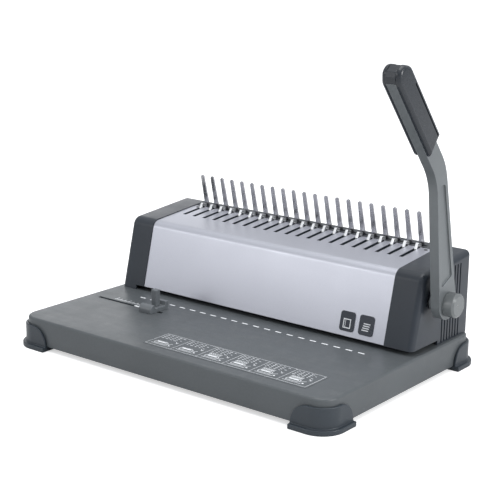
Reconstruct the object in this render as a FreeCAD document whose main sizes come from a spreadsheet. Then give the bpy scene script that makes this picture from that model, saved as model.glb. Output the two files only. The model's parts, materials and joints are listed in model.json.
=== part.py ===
"""A manual comb binding machine: punch, comb opener, one side lever.

The machine stands on four rubber feet with its floor at z = 0.  It is drawn with x to the right, from the
middle of its base, and y to the back, measured from a line that keeps its distance to the base's rear edge.
Every piece is then placed by centre_x and centre_y, so that the origin ends up under the middle of the
whole machine, lever cap included.
"""

import FreeCAD
import Part
import Sketcher
import math
import os
import re

V = FreeCAD.Vector

# ---------------------------------------------------------------- driving sizes, millimetres and degrees
SIZES = {
    # base
    "base_width": 390, "base_depth": 258, "base_rear": 129, "base_bottom": 5, "base_top": 32.5,
    "base_wall": 2.5, "base_corner": 18, "base_edge": 2.6, "cover_plate": 2, "boss_radius": 5,
    "boss_x": 150, "boss_inset": 29,
    "screw_radius": 2, "screw_head": 4, "screw_length": 14, "fit": 0.15,
    # how far a cut runs past the face it starts from
    "over": 1,
    # feet
    "foot_reach": 38, "foot_proud": 3, "foot_flange": 6.5, "foot_flange_rise": 5, "foot_rise": 25,
    "foot_round": 19,
    # comb pitch: nine sixteenths of an inch, twenty-one rings
    "pitch": 14.2875, "rings": 21, "tine_first": -146.1, "punch_first": -139.45,
    # housing
    "panel_half": 158, "housing_half": 190, "front_foot_y": 19, "throat": 4.7, "brow_y": 36.5,
    "brow_rise": 109, "panel_rear_y": 108, "top_slope": 0.092, "housing_rear": 127, "sheet": 2.5,
    "brow_round": 10, "cap_round": 6, "cap_proud": 0.8, "cap_wall": 2.5, "throat_left": 168,
    "throat_right_y": 66, "slot_front": 73.5, "slot_width": 4.6, "cap_back_round": 4.2, "cap_hole_play": 3,
    "rib_count": 7, "rib_pitch": 5.4, "rib_first_y": 72, "rib_width": 2.2, "rib_depth": 1, "rib_low": 33.5,
    "rib_below": 1, "hook_opening": 0.8, "hook_floor": 1.5,
    # punch
    "pin_y": 45, "pin_long": 8, "pin_wide": 3, "die_thick": 3, "die_half_y": 8, "die_margin": 10,
    "die_flange": 5, "stripper_thick": 3, "bar_half_y": 6, "bar_height": 14, "bar_play": 3,
    "punch_stroke": 7.5, "pin_gap": 0.5, "stop_y": 57, "stop_thick": 2, "tongue_half": 4, "tongue_proud": 1,
    # side frames and shafts
    "frame_x": 165, "frame_thick": 3, "frame_rear": 112, "frame_below": 1.5, "frame_foot_y": 60,
    "frame_reach": 15, "frame_shoulder": 12, "frame_crest": 4, "pivot_y": 51, "pivot_z": 81.8,
    "shaft_radius": 5, "bush_radius": 8, "bush_flange": 10.5,
    "bush_flange_thick": 2, "idler_radius": 4, "shaft_proud": 2, "running": 0.06, "swing": 70,
    # comb opener
    "gear_module": 1.5, "main_teeth": 28, "idler_teeth": 18, "gear_x": 120, "gear_wide": 6,
    "pressure_angle": 20, "dedendum": 1.25, "sector_spare": 13, "gear_gap": 0.5, "backlash": 0.16,
    "rack_gap": 1.5, "rack_wide": 6.5, "rack_back": 6, "plate_wide": 3, "plate_front": 4,
    "rail_low": 100, "rail_high": 105, "rail_front": 98, "rail_rear": 106, "column_front": 116.3,
    "column_rear": 120,
    # cams that press the punch bar
    "cam_x": 100, "cam_wide": 8, "cam_rise": 2.5, "cam_spare": 4, "cam_back": 120, "hub_gap": 0.25,
    # rake
    "rake_y": 114.8, "rake_above": 6, "rake_lean": 14, "tine_length": 39, "tine_root": 6.2, "tine_tip": 4.4,
    "rake_thick": 2, "rake_sink": 7, "rake_strip": 0.5, "holder_front": 109, "holder_rear": 124,
    "holder_below": 2.5, "groove_rise": 4,
    # lever
    "lever_inner": 198, "lever_outer": 208, "hub_radius": 15.5, "knee_front_y": 31.1, "knee_front_z": 124.6,
    "knee_rear_y": 16.1, "knee_rear_z": 137.2, "knee_round": 55, "boss_inner": 192, "boss_rim": 4,
    "recess_rim": 4.5, "recess_depth": 1.6, "recess_low": 3, "recess_high": 6, "recess_slant": 9,
    "recess_round": 2, "blade_length": 90, "blade_step": 4,
    # hand grip
    "grip_lean": 40, "grip_y": 43.3, "grip_z": 157.4, "grip_length": 99, "grip_half": 11.75,
    "grip_thick": 5.2, "grip_round": 4, "grip_back_drop": 9, "grip_front_drop": 9,
    "grip_corner": 8.5, "crown_rear": 4, "crown_front": 5, "end_sink": 0.6, "end_front": 9, "end_drop": 3.2,
    "flute_inset": 4.1, "flute_wide": 1.5, "flute_deep": 1.4, "flute_end": 16, "shell_step": 5,
    # lever hub
    "washer_radius": 9, "washer_thick": 1.5, "hub_screw_head": 4, "cap_radius": 12, "cap_length": 12,
    "cap_bevel": 2, "cap_skin": 2.5,
    # hooks
    "hook_wide": 3, "hook_front": 101, "hook_rear": 111.3, "hook_above": 11.5, "tip_above": 5.8,
    "hook_bar": 1.6, "hook_slope": 3.6, "hook_foot": 2.4, "hook_crook": 2.8, "hook_sheet": 2,
    "hook_margin": 4,
    # springs
    "spring_x": 156, "spring_radius": 3.6, "spring_wire": 0.9, "spring_turns": 6, "spring_gap": 0.5,
    "coil_x": -155, "coil_gap": 1.2, "coil_wire": 1, "coil_turns": 9, "coil_length": 16,
    # trim
    "badge_left": 104.5, "badge_pitch": 22.3, "badge_wide": 17, "badge_low": 5, "badge_high": 20,
    "badge_thick": 0.8, "badge_round": 3, "screw_y": 103, "dot_inset": 7, "dot_radius": 1.9,
    "dot_proud": 0.6, "label_left": -36.5, "label_wide": 197.5, "label_inset": 15, "label_deep": 38,
    "label_thick": 0.25, "label_round": 2.5,
    # chip drawer
    "drawer_front_y": 14, "drawer_rear_y": 76, "drawer_low": 8, "drawer_high": 26, "drawer_length": 312,
    "drawer_wall": 1.8, "drawer_front": 3.5, "drawer_play": 0.6, "face_side": 4, "face_rise": 2,
    "pull_half": 15, "pull_low": 4, "pull_high": 3, "pull_proud": 2.8, "pull_lip": 2,
    # edge guide
    "guide_x": -100.5, "guide_y": -30, "guide_long": 17, "guide_deep": 28, "guide_rise": 8.5,
    "guide_shift": 2, "guide_round": 6, "trough_front": 8, "trough_rear": 5, "trough_flare": 2,
    "guide_slot": 4, "guide_slot_left": -179, "guide_slot_right": -86, "guide_foot": 4,
    "post_side": 7, "post_rise": 22, "post_shift": 2, "post_round": 1, "clip_inset": 2, "clip_thick": 2,
    "pointer_reach": 16, "pointer_root": 4, "pointer_sink": 0.4, "pointer_gap": 0.5, "pointer_thick": 1.2,
}
# sizes that follow from the ones above
FOLLOWING = {
    "half_width": "base_width / 2",
    "base_front": "base_rear - base_depth",
    "throat_top": "base_top + throat",
    "foot_out": "half_width + foot_flange",
    "knob_out": "lever_outer + cap_length",
    "centre_x": "(foot_out - knob_out) / 2",
    "centre_y": "base_depth / 2 - base_rear",
    "front_lean": "(brow_y - front_foot_y) / (brow_rise - throat_top)",
    "row_span": "pitch * (rings - 1)",
    "die_left": "punch_first - die_margin",
    "die_right": "punch_first + row_span + die_margin",
    "stripper_top": "throat_top + stripper_thick",
    "rib_top": "brow_rise - rib_below",
    "frame_top": "brow_rise - frame_below",
    "holder_low": "brow_rise - holder_below",
    "rake_z": "brow_rise + rake_above",
    "hook_rise": "brow_rise + hook_above",
    "hook_tip": "brow_rise + tip_above",
    "label_front": "base_front + label_inset",
    "cam_start": "shaft_radius + cam_rise",
    "bar_top": "pivot_z - cam_start - fit",
    "bar_low": "bar_top - bar_height",
    "main_pitch": "gear_module * main_teeth / 2",
    "idler_pitch": "gear_module * idler_teeth / 2",
    "idler_y": "pivot_y + main_pitch + idler_pitch",
    "rack_line": "pivot_z - idler_pitch",
    "carriage_stroke": "main_pitch * swing * pi / 180",
    "cam_base": "punch_stroke / (swing * pi / 180)",
    "grip_foot_y": "pivot_y - grip_y",
    "grip_foot_z": "pivot_z + grip_z",
    "rack_x": "gear_x + gear_wide + rack_gap",
    "plate_x": "rack_x + rack_wide",
    "rack_root": "rack_line - dedendum * gear_module",
    "rack_foot": "rack_root - rack_back",
    "gear_hub": "cam_start - hub_gap",
    "shaft_left": "frame_x + frame_thick + shaft_proud",
    "tongue_end": "frame_x + frame_thick + tongue_proud",
    "mid_drawer": "(drawer_front_y + drawer_rear_y) / 2",
    "lean_stretch": "sqrt(1 + front_lean * front_lean)",
    "slope_stretch": "sqrt(1 + top_slope * top_slope)",
    "rake_sin": "sin(rake_lean * 1 deg)",
    "rake_cos": "cos(rake_lean * 1 deg)",
    "grip_sin": "sin(grip_lean * 1 deg)",
    "grip_cos": "cos(grip_lean * 1 deg)",
    "badge_lean": "atan(front_lean) / 1 deg",
    "top_tilt": "atan(top_slope) / 1 deg",
}

doc = FreeCAD.newDocument("CombBindingMachine")
sheet = doc.addObject("Spreadsheet::Sheet", "Sizes")
for row, (alias, value) in enumerate(SIZES.items(), start=1):
    sheet.set(f"A{row}", alias)
    sheet.set(f"B{row}", str(value))
    sheet.setAlias(f"B{row}", alias)
doc.recompute()
pieces = {}


def expand(text):
    """Turn the words of a size expression into cells of the sheet."""
    def one(match):
        word = match.group(0)
        if word in SIZES:
            return "Sizes." + word
        if word in FOLLOWING:
            return "(" + expand(FOLLOWING[word]) + ")"
        return word
    return re.sub(r"[a-z][a-z_0-9]*", one, str(text))


def size(text):
    """The number that a size expression has now."""
    return float(sheet.evalExpression(expand(text)))


def bind(thing, path, text):
    thing.setExpression(path, expand(text))


def place(thing, x="0", y="0", z="0", lean=None):
    """Put a finished piece in the machine's frame; lean tips it forward about the x axis."""
    if lean is not None:
        thing.Placement = FreeCAD.Placement(V(0, 0, 0), FreeCAD.Rotation(V(1, 0, 0), size(lean)))
        bind(thing, "Placement.Rotation.Angle", lean)
    bind(thing, "Placement.Base.x", f"centre_x + {x}")
    bind(thing, "Placement.Base.y", f"centre_y + {y}")
    bind(thing, "Placement.Base.z", z)


# ---------------------------------------------------------------- sketches and features
PLANES = {"top": "XY_Plane", "side": "YZ_Plane", "front": "XZ_Plane"}


def new_body(name, lean=None, x="0", y="0", z="0"):
    body = doc.addObject("PartDesign::Body", name)
    body.Label = name
    place(body, x, y, z, lean)
    pieces[name] = body
    return body


def origin_item(body, role):
    return [item for item in body.Origin.OriginFeatures if item.Role == role][0]


def new_sketch(body, plane, at="0"):
    """A sketch parallel to one origin plane of its body, at the given distance from it."""
    sketch = body.newObject("Sketcher::SketchObject", "Sketch")
    sketch.AttachmentSupport = [(origin_item(body, PLANES[plane]), "")]
    sketch.MapMode = "FlatFace"
    bind(sketch, "AttachmentOffset.Base.z", f"-1 * ({at})" if plane == "front" else at)
    return sketch


def hold(sketch, kind, geometry, point, text, guess):
    number = sketch.addConstraint(Sketcher.Constraint(kind, -1, 1, geometry, point, guess))
    bind(sketch, f"Constraints[{number}]", text)


def polygon(sketch, corners):
    """A closed outline; both coordinates of each corner are bound to the sheet."""
    first = sketch.GeometryCount
    count = len(corners)
    spots = [V(size(u), size(w), 0) for u, w in corners]
    for i in range(count):
        sketch.addGeometry(Part.LineSegment(spots[i], spots[(i + 1) % count]))
    for i in range(count):
        sketch.addConstraint(Sketcher.Constraint("Coincident", first + i, 2, first + (i + 1) % count, 1))
    for i, (u, w) in enumerate(corners):
        hold(sketch, "DistanceX", first + i, 1, u, spots[i].x)
        hold(sketch, "DistanceY", first + i, 1, w, spots[i].y)
    return sketch


def rectangle(sketch, u_low, u_high, w_low, w_high):
    return polygon(sketch, [(u_low, w_low), (u_high, w_low), (u_high, w_high), (u_low, w_high)])


def circle(sketch, u, w, radius):
    number = sketch.addGeometry(Part.Circle(V(size(u), size(w), 0), V(0, 0, 1), size(radius)))
    hold(sketch, "DistanceX", number, 3, u, size(u))
    hold(sketch, "DistanceY", number, 3, w, size(w))
    limit = sketch.addConstraint(Sketcher.Constraint("Radius", number, size(radius)))
    bind(sketch, f"Constraints[{limit}]", radius)
    return sketch


def grow(body, sketch, length, backwards=False):
    """Pad a sketch along its plane's normal, or against it."""
    pad = body.newObject("PartDesign::Pad", "Pad")
    pad.Profile = sketch
    bind(pad, "Length", length)
    pad.Reversed = backwards
    return pad


def cut(body, sketch, length, backwards=False):
    """Pocket a sketch; it cuts against the plane's normal, or along it when backwards."""
    pocket = body.newObject("PartDesign::Pocket", "Pocket")
    pocket.Profile = sketch
    bind(pocket, "Length", length)
    pocket.Reversed = backwards
    return pocket


def repeat(body, feature, span, count):
    """Repeat a feature along x."""
    pattern = body.newObject("PartDesign::LinearPattern", "Row")
    pattern.Originals = [feature]
    pattern.Direction = (origin_item(body, "X_Axis"), [""])
    bind(pattern, "Length", span)
    bind(pattern, "Occurrences", count)
    body.Tip = pattern
    return pattern


def edges_of(feature, wanted):
    """Names of the edges whose two ends and middle satisfy a test, in the body's own frame."""
    doc.recompute()
    names = []
    for number, edge in enumerate(feature.Shape.Edges, start=1):
        middle = edge.valueAt((edge.FirstParameter + edge.LastParameter) / 2)
        ends = [vertex.Point for vertex in edge.Vertexes]
        if wanted(middle, ends, edge):
            names.append(f"Edge{number}")
    return names


def round_off(body, feature, radius, wanted, kind="Fillet"):
    names = edges_of(feature, wanted)
    assert names, f"no edges to round on {body.Label}"
    finish = body.newObject("PartDesign::" + kind, kind)
    finish.Base = (feature, names)
    bind(finish, "Radius" if kind == "Fillet" else "Size", radius)
    body.Tip = finish
    return finish


def near(a, b):
    return abs(a - b) < 0.01


def along(edge, direction):
    if edge.Curve.TypeId != "Part::GeomLine":
        return False
    return abs(abs(edge.Curve.Direction.dot(direction)) - 1) < 1e-6


def solid(name, shape):
    """A piece whose shape is worked out by formula: cams, gears and springs."""
    thing = doc.addObject("Part::Feature", name)
    thing.Label = name
    thing.Shape = shape
    centre = V(size("centre_x"), size("centre_y"), 0)
    thing.Placement = FreeCAD.Placement(centre, FreeCAD.Rotation()) * shape.Placement
    pieces[name] = thing
    return thing


# ---------------------------------------------------------------- base
def inset_outline(sketch, inset):
    """The base's outline moved inwards, with its corners cut so that they leave a thick corner wall."""
    x, front, rear = f"(half_width - ({inset}))", f"(base_front + {inset})", f"(base_rear - ({inset}))"
    c = "base_corner"
    return polygon(sketch, [
        (f"{x} - {c}", front), (x, f"{front} + {c}"), (x, f"{rear} - {c}"), (f"{x} - {c}", rear),
        (f"-{x} + {c}", rear), (f"-{x}", f"{rear} - {c}"),
        (f"-{x}", f"{front} + {c}"), (f"-{x} + {c}", front),
    ])


def make_base_shell():
    body = new_body("base_shell")
    outline = rectangle(new_sketch(body, "top", "base_bottom"),
                        "-half_width", "half_width", "base_front", "base_rear")
    block = grow(body, outline, "base_top - base_bottom")
    block = round_off(body, block, "base_corner", lambda m, ends, e: along(e, V(0, 0, 1)))
    top = size("base_top")
    block = round_off(body, block, "base_edge", lambda m, ends, e: all(near(p.z, top) for p in ends))
    cut(body, inset_outline(new_sketch(body, "top", "base_bottom"), "base_wall"),
        "base_top - base_bottom - base_wall", backwards=True)
    bosses = new_sketch(body, "top", "base_bottom + cover_plate")
    for x in ("-boss_x", "boss_x"):
        for y in ("base_front + boss_inset", "base_rear - boss_inset"):
            circle(bosses, x, y, "boss_radius")
    grow(body, bosses, "base_top - base_wall / 2 - base_bottom - cover_plate")
    holes = new_sketch(body, "top", "base_bottom + cover_plate")
    for x in ("-boss_x", "boss_x"):
        for y in ("base_front + boss_inset", "base_rear - boss_inset"):
            circle(holes, x, y, "screw_radius + running")
    cut(body, holes, "screw_length", backwards=True)
    die = rectangle(new_sketch(body, "top", "base_top"), "die_left - fit", "die_right + fit",
                    "pin_y - die_half_y - fit", "pin_y + die_half_y + fit")
    cut(body, die, "base_wall * 2")
    slot = rectangle(new_sketch(body, "top", "base_top"), "guide_slot_left", "guide_slot_right",
                     "guide_y - guide_slot / 2", "guide_y + guide_slot / 2")
    cut(body, slot, "base_wall * 2")
    mouth = rectangle(new_sketch(body, "side", "-half_width"),
                      "drawer_front_y - drawer_play", "drawer_rear_y + drawer_play",
                      "drawer_low - drawer_play", "drawer_high + drawer_play")
    cut(body, mouth, "base_wall * 2", backwards=True)


def make_base_cover():
    body = new_body("base_bottom_cover")
    grow(body, inset_outline(new_sketch(body, "top", "base_bottom"), "base_wall + fit"), "cover_plate")
    holes = new_sketch(body, "top", "base_bottom")
    for x in ("-boss_x", "boss_x"):
        for y in ("base_front + boss_inset", "base_rear - boss_inset"):
            circle(holes, x, y, "screw_radius + fit")
    cut(body, holes, "cover_plate", backwards=True)


def make_base_screws():
    body = new_body("base_screws")
    heads = new_sketch(body, "top", "base_bottom")
    shanks = new_sketch(body, "top", "base_bottom")
    for x in ("-boss_x", "boss_x"):
        for y in ("base_front + boss_inset", "base_rear - boss_inset"):
            circle(heads, x, y, "screw_head")
            circle(shanks, x, y, "screw_radius")
    grow(body, heads, "cover_plate", backwards=True)
    grow(body, shanks, "screw_length")


def make_foot(name, x_side, rim, y_side):
    """A moulded rubber corner: an arched band round the base's corner over a wider sole."""
    def box_outline(sketch, out):
        u = [f"{x_side} * (half_width - foot_reach)", f"{x_side} * (half_width + {out})"]
        w = [f"{rim} - {y_side} * foot_reach", f"{rim} + {y_side} * {out}"]
        return rectangle(sketch, u[0], u[1], w[0], w[1])

    def corner_edge(out):
        """Picks the upright edge where two outer faces, this far from the base, meet."""
        x, y = size(f"half_width + {out}"), size(f"{rim} + {y_side} * {out}")
        return lambda m, ends, e: along(e, V(0, 0, 1)) and near(abs(m.x), x) and near(m.y, y)

    body = new_body(name)
    grow(body, box_outline(new_sketch(body, "top"), "foot_proud"), "foot_rise")
    seat = rectangle(new_sketch(body, "top", "base_bottom"),
                     f"{x_side} * (half_width - foot_reach - over)", f"{x_side} * half_width",
                     f"{rim} - {y_side} * (foot_reach + over)", rim)
    band = cut(body, seat, "foot_rise", backwards=True)
    band = round_off(body, band, "base_corner", corner_edge("0"))
    band = round_off(body, band, "base_corner + foot_proud", corner_edge("foot_proud"))
    high, x_end = size("foot_rise"), size("half_width - foot_reach")
    y_end = size(f"{rim} - {y_side} * foot_reach")
    round_off(body, band, "foot_round", lambda m, ends, e: all(near(p.z, high) for p in ends)
              and (near(abs(m.x), x_end) or near(m.y, y_end)))
    sole = grow(body, box_outline(new_sketch(body, "top"), "foot_flange"), "foot_flange_rise")
    round_off(body, sole, "base_corner + foot_flange", corner_edge("foot_flange"))


# ---------------------------------------------------------------- housing
def roof(y):
    """Height of the housing's outer top at a given y."""
    return f"(brow_rise + top_slope * ({y} - brow_y))"


def front(z, depth="0"):
    """Where the leaning front is at a given height, this far under its outer face."""
    return f"(front_foot_y + ({depth}) * lean_stretch + front_lean * ({z} - throat_top))"


def brow(depth):
    """The corner between the leaning front and the top, this far under the outer faces."""
    top = f"(brow_rise - ({depth}) * slope_stretch)"
    foot = f"(front_foot_y + ({depth}) * lean_stretch)"
    z = f"(({top} + top_slope * ({foot} - front_lean * throat_top - brow_y)) / (1 - top_slope * front_lean))"
    return front(z, depth), z


def top_line(y, depth):
    return f"({roof(y)} - ({depth}) * slope_stretch)"


def make_front_cover():
    body = new_body("front_cover")
    inner_y, inner_z = brow("sheet")
    outline = polygon(new_sketch(body, "side", "-panel_half"), [
        ("front_foot_y", "throat_top"), ("brow_y", "brow_rise"), ("panel_rear_y", roof("panel_rear_y")),
        ("panel_rear_y", top_line("panel_rear_y", "sheet")), (inner_y, inner_z),
        (front("throat_top", "sheet"), "throat_top"),
    ])
    panel = grow(body, outline, "2 * panel_half")
    outer, inner = size("brow_y"), size(inner_y)
    panel = round_off(body, panel, "brow_round",
                      lambda m, ends, e: along(e, V(1, 0, 0)) and near(m.y, outer))
    round_off(body, panel, "brow_round - sheet",
              lambda m, ends, e: along(e, V(1, 0, 0)) and near(m.y, inner))
    slot = rectangle(new_sketch(body, "side", "tine_first - slot_width / 2"),
                     "slot_front", "panel_rear_y + over",
                     f"{roof('slot_front')} - 2 * sheet", f"{roof('panel_rear_y')} + over")
    repeat(body, cut(body, slot, "slot_width", backwards=True), "row_span", "rings")


def make_end_cap(name, side):
    """A moulded end of the housing: a hollow shell, open towards the middle and below."""
    body = new_body(name)
    start = f"{side} * panel_half"
    brow_y, brow_z = brow("-cap_proud")
    outline = polygon(new_sketch(body, "side", start), [
        (front("base_top", "-cap_proud"), "base_top"), (brow_y, brow_z),
        ("housing_rear", top_line("housing_rear", "-cap_proud")), ("housing_rear", "base_top"),
    ])
    shell = grow(body, outline, "housing_half - panel_half", backwards=side < 0)
    y, rear = size(brow_y), size("housing_rear")
    shell = round_off(body, shell, "brow_round + cap_proud",
                      lambda m, ends, e: along(e, V(1, 0, 0)) and near(m.y, y))
    shell = round_off(body, shell, "cap_back_round", lambda m, ends, e: along(e, V(1, 0, 0))
                      and near(m.y, rear) and m.z > size("brow_rise"))
    outer, floor = side * size("housing_half"), size("base_top")
    round_off(body, shell, "cap_round", lambda m, ends, e: all(near(p.x, outer) for p in ends)
              and not all(near(p.z, floor) for p in ends))
    inner_y, inner_z = brow("cap_wall - cap_proud")
    hollow = polygon(new_sketch(body, "side", start), [
        (front("base_top", "cap_wall - cap_proud"), "base_top - over"), (inner_y, inner_z),
        ("housing_rear - cap_wall", top_line("housing_rear - cap_wall", "cap_wall - cap_proud")),
        ("housing_rear - cap_wall", "base_top - over"),
    ])
    cut(body, hollow, "housing_half - panel_half - cap_wall", backwards=side > 0)
    reach, rear_y = ("housing_half", "throat_right_y") if side > 0 else ("throat_left", "stop_y")
    notch = rectangle(new_sketch(body, "side", start), "0", rear_y, "base_top - over", "throat_top")
    cut(body, notch, f"{reach} - panel_half + over", backwards=side > 0)
    if side > 0:
        hole = circle(new_sketch(body, "side", "housing_half"), "pivot_y", "pivot_z",
                      "shaft_radius + cap_hole_play")
        cut(body, hole, "cap_wall * 2")
        ribs = new_sketch(body, "side", "housing_half")
        for number in range(int(size("rib_count"))):
            y = f"rib_first_y + {number} * rib_pitch"
            rectangle(ribs, y, f"{y} + rib_width", "rib_low", "rib_top")
        cut(body, ribs, "rib_depth")


def make_rear_cover():
    body = new_body("rear_cover")
    outline = polygon(new_sketch(body, "side", "-panel_half"), [
        ("housing_rear", "base_top"), ("housing_rear", roof("housing_rear")),
        ("holder_rear", roof("holder_rear")), ("holder_rear", top_line("holder_rear", "sheet")),
        ("housing_rear - sheet", top_line("housing_rear - sheet", "sheet")),
        ("housing_rear - sheet", "base_top"),
    ])
    wall = grow(body, outline, "2 * panel_half")
    rear, high = size("housing_rear"), size(roof("housing_rear"))
    round_off(body, wall, "sheet",
              lambda m, ends, e: along(e, V(1, 0, 0)) and near(m.y, rear) and near(m.z, high))


def make_rake_holder():
    """The dark strip behind the slots: a bar with a leaning groove that grips the rake."""
    body = new_body("rake_holder")
    outline = polygon(new_sketch(body, "side", "-panel_half"), [
        ("holder_front", "holder_low"), ("holder_front", roof("holder_front")),
        ("holder_rear", roof("holder_rear")), ("holder_rear", "holder_low"),
    ])
    grow(body, outline, "2 * panel_half")
    low, high = "(-rake_sink - fit)", "(rake_sink + groove_rise)"
    half = "(rake_thick / 2 + fit)"
    groove = polygon(new_sketch(body, "side", "tine_first - tine_root - fit"), [
        (f"rake_y + {n} * {half} * rake_cos - {u} * rake_sin",
         f"rake_z + {n} * {half} * rake_sin + {u} * rake_cos")
        for n, u in ((-1, low), (1, low), (1, high), (-1, high))
    ])
    cut(body, groove, "row_span + 2 * tine_root + 2 * fit", backwards=True)
    notch = rectangle(new_sketch(body, "side", "tine_first - slot_width / 2"), "holder_front - over",
                      "hook_rear + hook_opening", "hook_tip - hook_floor", f"{roof('holder_rear')} + over")
    repeat(body, cut(body, notch, "slot_width", backwards=True), "row_span", "rings")


def make_comb_rake():
    """The upright fingers that carry the comb's spine, all one steel plate that leans forward."""
    body = new_body("comb_rake", "rake_lean", "0", "rake_y", "rake_z")
    strip = rectangle(new_sketch(body, "front", "rake_thick / 2"), "tine_first - tine_root",
                      "tine_first + row_span + tine_root", "-rake_sink", "-rake_strip")
    grow(body, strip, "rake_thick")
    root, tip, long = "tine_root / 2", "tine_tip / 2", "tine_length"
    tine = polygon(new_sketch(body, "front", "rake_thick / 2"), [
        (f"tine_first - {root}", "-2 * rake_strip"), (f"tine_first + {root}", "-2 * rake_strip"),
        (f"tine_first + {tip}", f"{long} - tine_tip / 3"), (f"tine_first + {tip} / 2", long),
        (f"tine_first - {tip} / 2", long), (f"tine_first - {tip}", f"{long} - tine_tip / 3"),
    ])
    repeat(body, grow(body, tine, "rake_thick"), "row_span", "rings")


def make_badges():
    """Two small raised tiles on the leaning front."""
    lean = "-badge_lean"
    body = new_body("front_badges", lean, "0", "front_foot_y", "throat_top")
    tiles = new_sketch(body, "front", "0")
    for x in ("badge_left", "badge_left + badge_pitch"):
        rectangle(tiles, x, f"{x} + badge_wide", "badge_low", "badge_low + badge_high")
    tile = grow(body, tiles, "badge_thick")
    round_off(body, tile, "badge_round", lambda m, ends, e: along(e, V(0, 1, 0)))


def make_panel_screws():
    body = new_body("panel_screws", "top_tilt", "0", "screw_y", roof("screw_y"))
    heads = new_sketch(body, "top", "0")
    for x in ("-panel_half + dot_inset", "panel_half - dot_inset"):
        circle(heads, x, "0", "dot_radius")
    grow(body, heads, "dot_proud")


# ---------------------------------------------------------------- inner frame and punch
def make_side_frame(name, side):
    """A steel side plate: it carries the shafts and guides the punch bar and the opener's rail."""
    body = new_body(name)
    outline = polygon(new_sketch(body, "side", f"{side} * frame_x"), [
        ("frame_foot_y", "base_top"), ("frame_rear", "base_top"), ("frame_rear", "frame_top"),
        ("pivot_y + frame_crest", "frame_top"), ("pivot_y - frame_shoulder", "pivot_z + frame_shoulder"),
        ("pivot_y - frame_reach", "pivot_z - frame_crest"), ("pivot_y - frame_reach", "stripper_top"),
        ("frame_foot_y", "stripper_top"),
    ])
    grow(body, outline, "frame_thick", backwards=side < 0)
    holes = new_sketch(body, "side", f"{side} * frame_x")
    circle(holes, "pivot_y", "pivot_z", "bush_radius")
    circle(holes, "idler_y", "pivot_z", "idler_radius + running")
    rectangle(holes, "pin_y - tongue_half - fit", "pin_y + tongue_half + fit",
              "bar_low - punch_stroke - tongue_half", "bar_low + 2 * tongue_half + fit")
    rectangle(holes, "rail_front - carriage_stroke - over", "rail_rear + fit",
              "rail_low - fit", "rail_high + fit")
    cut(body, holes, "frame_thick", backwards=side > 0)


def make_bush(name, side):
    body = new_body(name)
    sleeve = circle(new_sketch(body, "side", f"{side} * frame_x"), "pivot_y", "pivot_z", "bush_radius")
    grow(body, sleeve, "frame_thick", backwards=side < 0)
    flange = circle(new_sketch(body, "side", f"{side} * frame_x"), "pivot_y", "pivot_z", "bush_flange")
    grow(body, flange, "bush_flange_thick", backwards=side > 0)
    bore = circle(new_sketch(body, "side", f"{side} * (frame_x - bush_flange_thick - over)"),
                  "pivot_y", "pivot_z", "shaft_radius + running")
    cut(body, bore, "frame_thick + bush_flange_thick + 2 * over", backwards=side > 0)


def make_die_plate():
    body = new_body("die_plate")
    flange = rectangle(new_sketch(body, "top", "base_top - base_wall - die_thick"),
                       "die_left - die_flange", "die_right + die_flange",
                       "pin_y - die_half_y - die_flange", "pin_y + die_half_y + die_flange")
    grow(body, flange, "die_thick")
    face = rectangle(new_sketch(body, "top", "base_top - base_wall"), "die_left", "die_right",
                     "pin_y - die_half_y", "pin_y + die_half_y")
    grow(body, face, "base_wall")
    hole = pin_outline(body, "base_top", "fit")
    repeat(body, cut(body, hole, "base_wall + die_thick"), "row_span", "rings")


def pin_outline(body, z, play):
    return rectangle(new_sketch(body, "top", z), f"punch_first - pin_long / 2 - {play}",
                     f"punch_first + pin_long / 2 + {play}", f"pin_y - pin_wide / 2 - {play}",
                     f"pin_y + pin_wide / 2 + {play}")


def make_stripper_plate():
    body = new_body("stripper_plate")
    plate = rectangle(new_sketch(body, "top", "throat_top"), "-frame_x", "frame_x", "pivot_y - frame_reach",
                      "stop_y + stop_thick")
    grow(body, plate, "stripper_thick")
    hole = pin_outline(body, "throat_top", "fit")
    repeat(body, cut(body, hole, "stripper_thick", backwards=True), "row_span", "rings")


def make_paper_stop():
    body = new_body("paper_stop")
    strip = rectangle(new_sketch(body, "top", "base_top"), "-frame_x", "frame_x", "stop_y",
                      "stop_y + stop_thick")
    grow(body, strip, "throat")


def make_punch_bar():
    body = new_body("punch_bar")
    bar = rectangle(new_sketch(body, "top", "bar_low"), "-(frame_x - bar_play)", "frame_x - bar_play",
                    "pin_y - bar_half_y", "pin_y + bar_half_y")
    grow(body, bar, "bar_height")
    tongue = rectangle(new_sketch(body, "top", "bar_low"), "-tongue_end", "tongue_end",
                       "pin_y - tongue_half", "pin_y + tongue_half")
    grow(body, tongue, "2 * tongue_half")


def make_punch_pins():
    body = new_body("punch_pins")
    pin = pin_outline(body, "throat_top + pin_gap", "0")
    repeat(body, grow(body, pin, "bar_low - throat_top - pin_gap"), "row_span", "rings")


# ---------------------------------------------------------------- shafts, cams and gears
def make_main_shaft():
    body = new_body("main_shaft")
    rod = circle(new_sketch(body, "side", "-shaft_left"), "pivot_y", "pivot_z", "shaft_radius")
    grow(body, rod, "shaft_left + lever_outer")
    bore = circle(new_sketch(body, "side", "lever_outer"), "pivot_y", "pivot_z", "screw_radius + running")
    cut(body, bore, "screw_length + over")


def make_idler_shaft():
    body = new_body("idler_shaft")
    rod = circle(new_sketch(body, "side", "-shaft_left"), "idler_y", "pivot_z", "idler_radius")
    grow(body, rod, "2 * shaft_left")


def in_plane(radius, angle, y=0.0, z=0.0):
    """A point of the y-z plane from polar values; angles are radians from +y towards +z."""
    return V(0, y + radius * math.cos(angle), z + radius * math.sin(angle))


def smooth(points):
    curve = Part.BSplineCurve()
    curve.interpolate(points)
    return curve.toShape()


def line(a, b):
    return Part.LineSegment(a, b).toShape()


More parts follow.
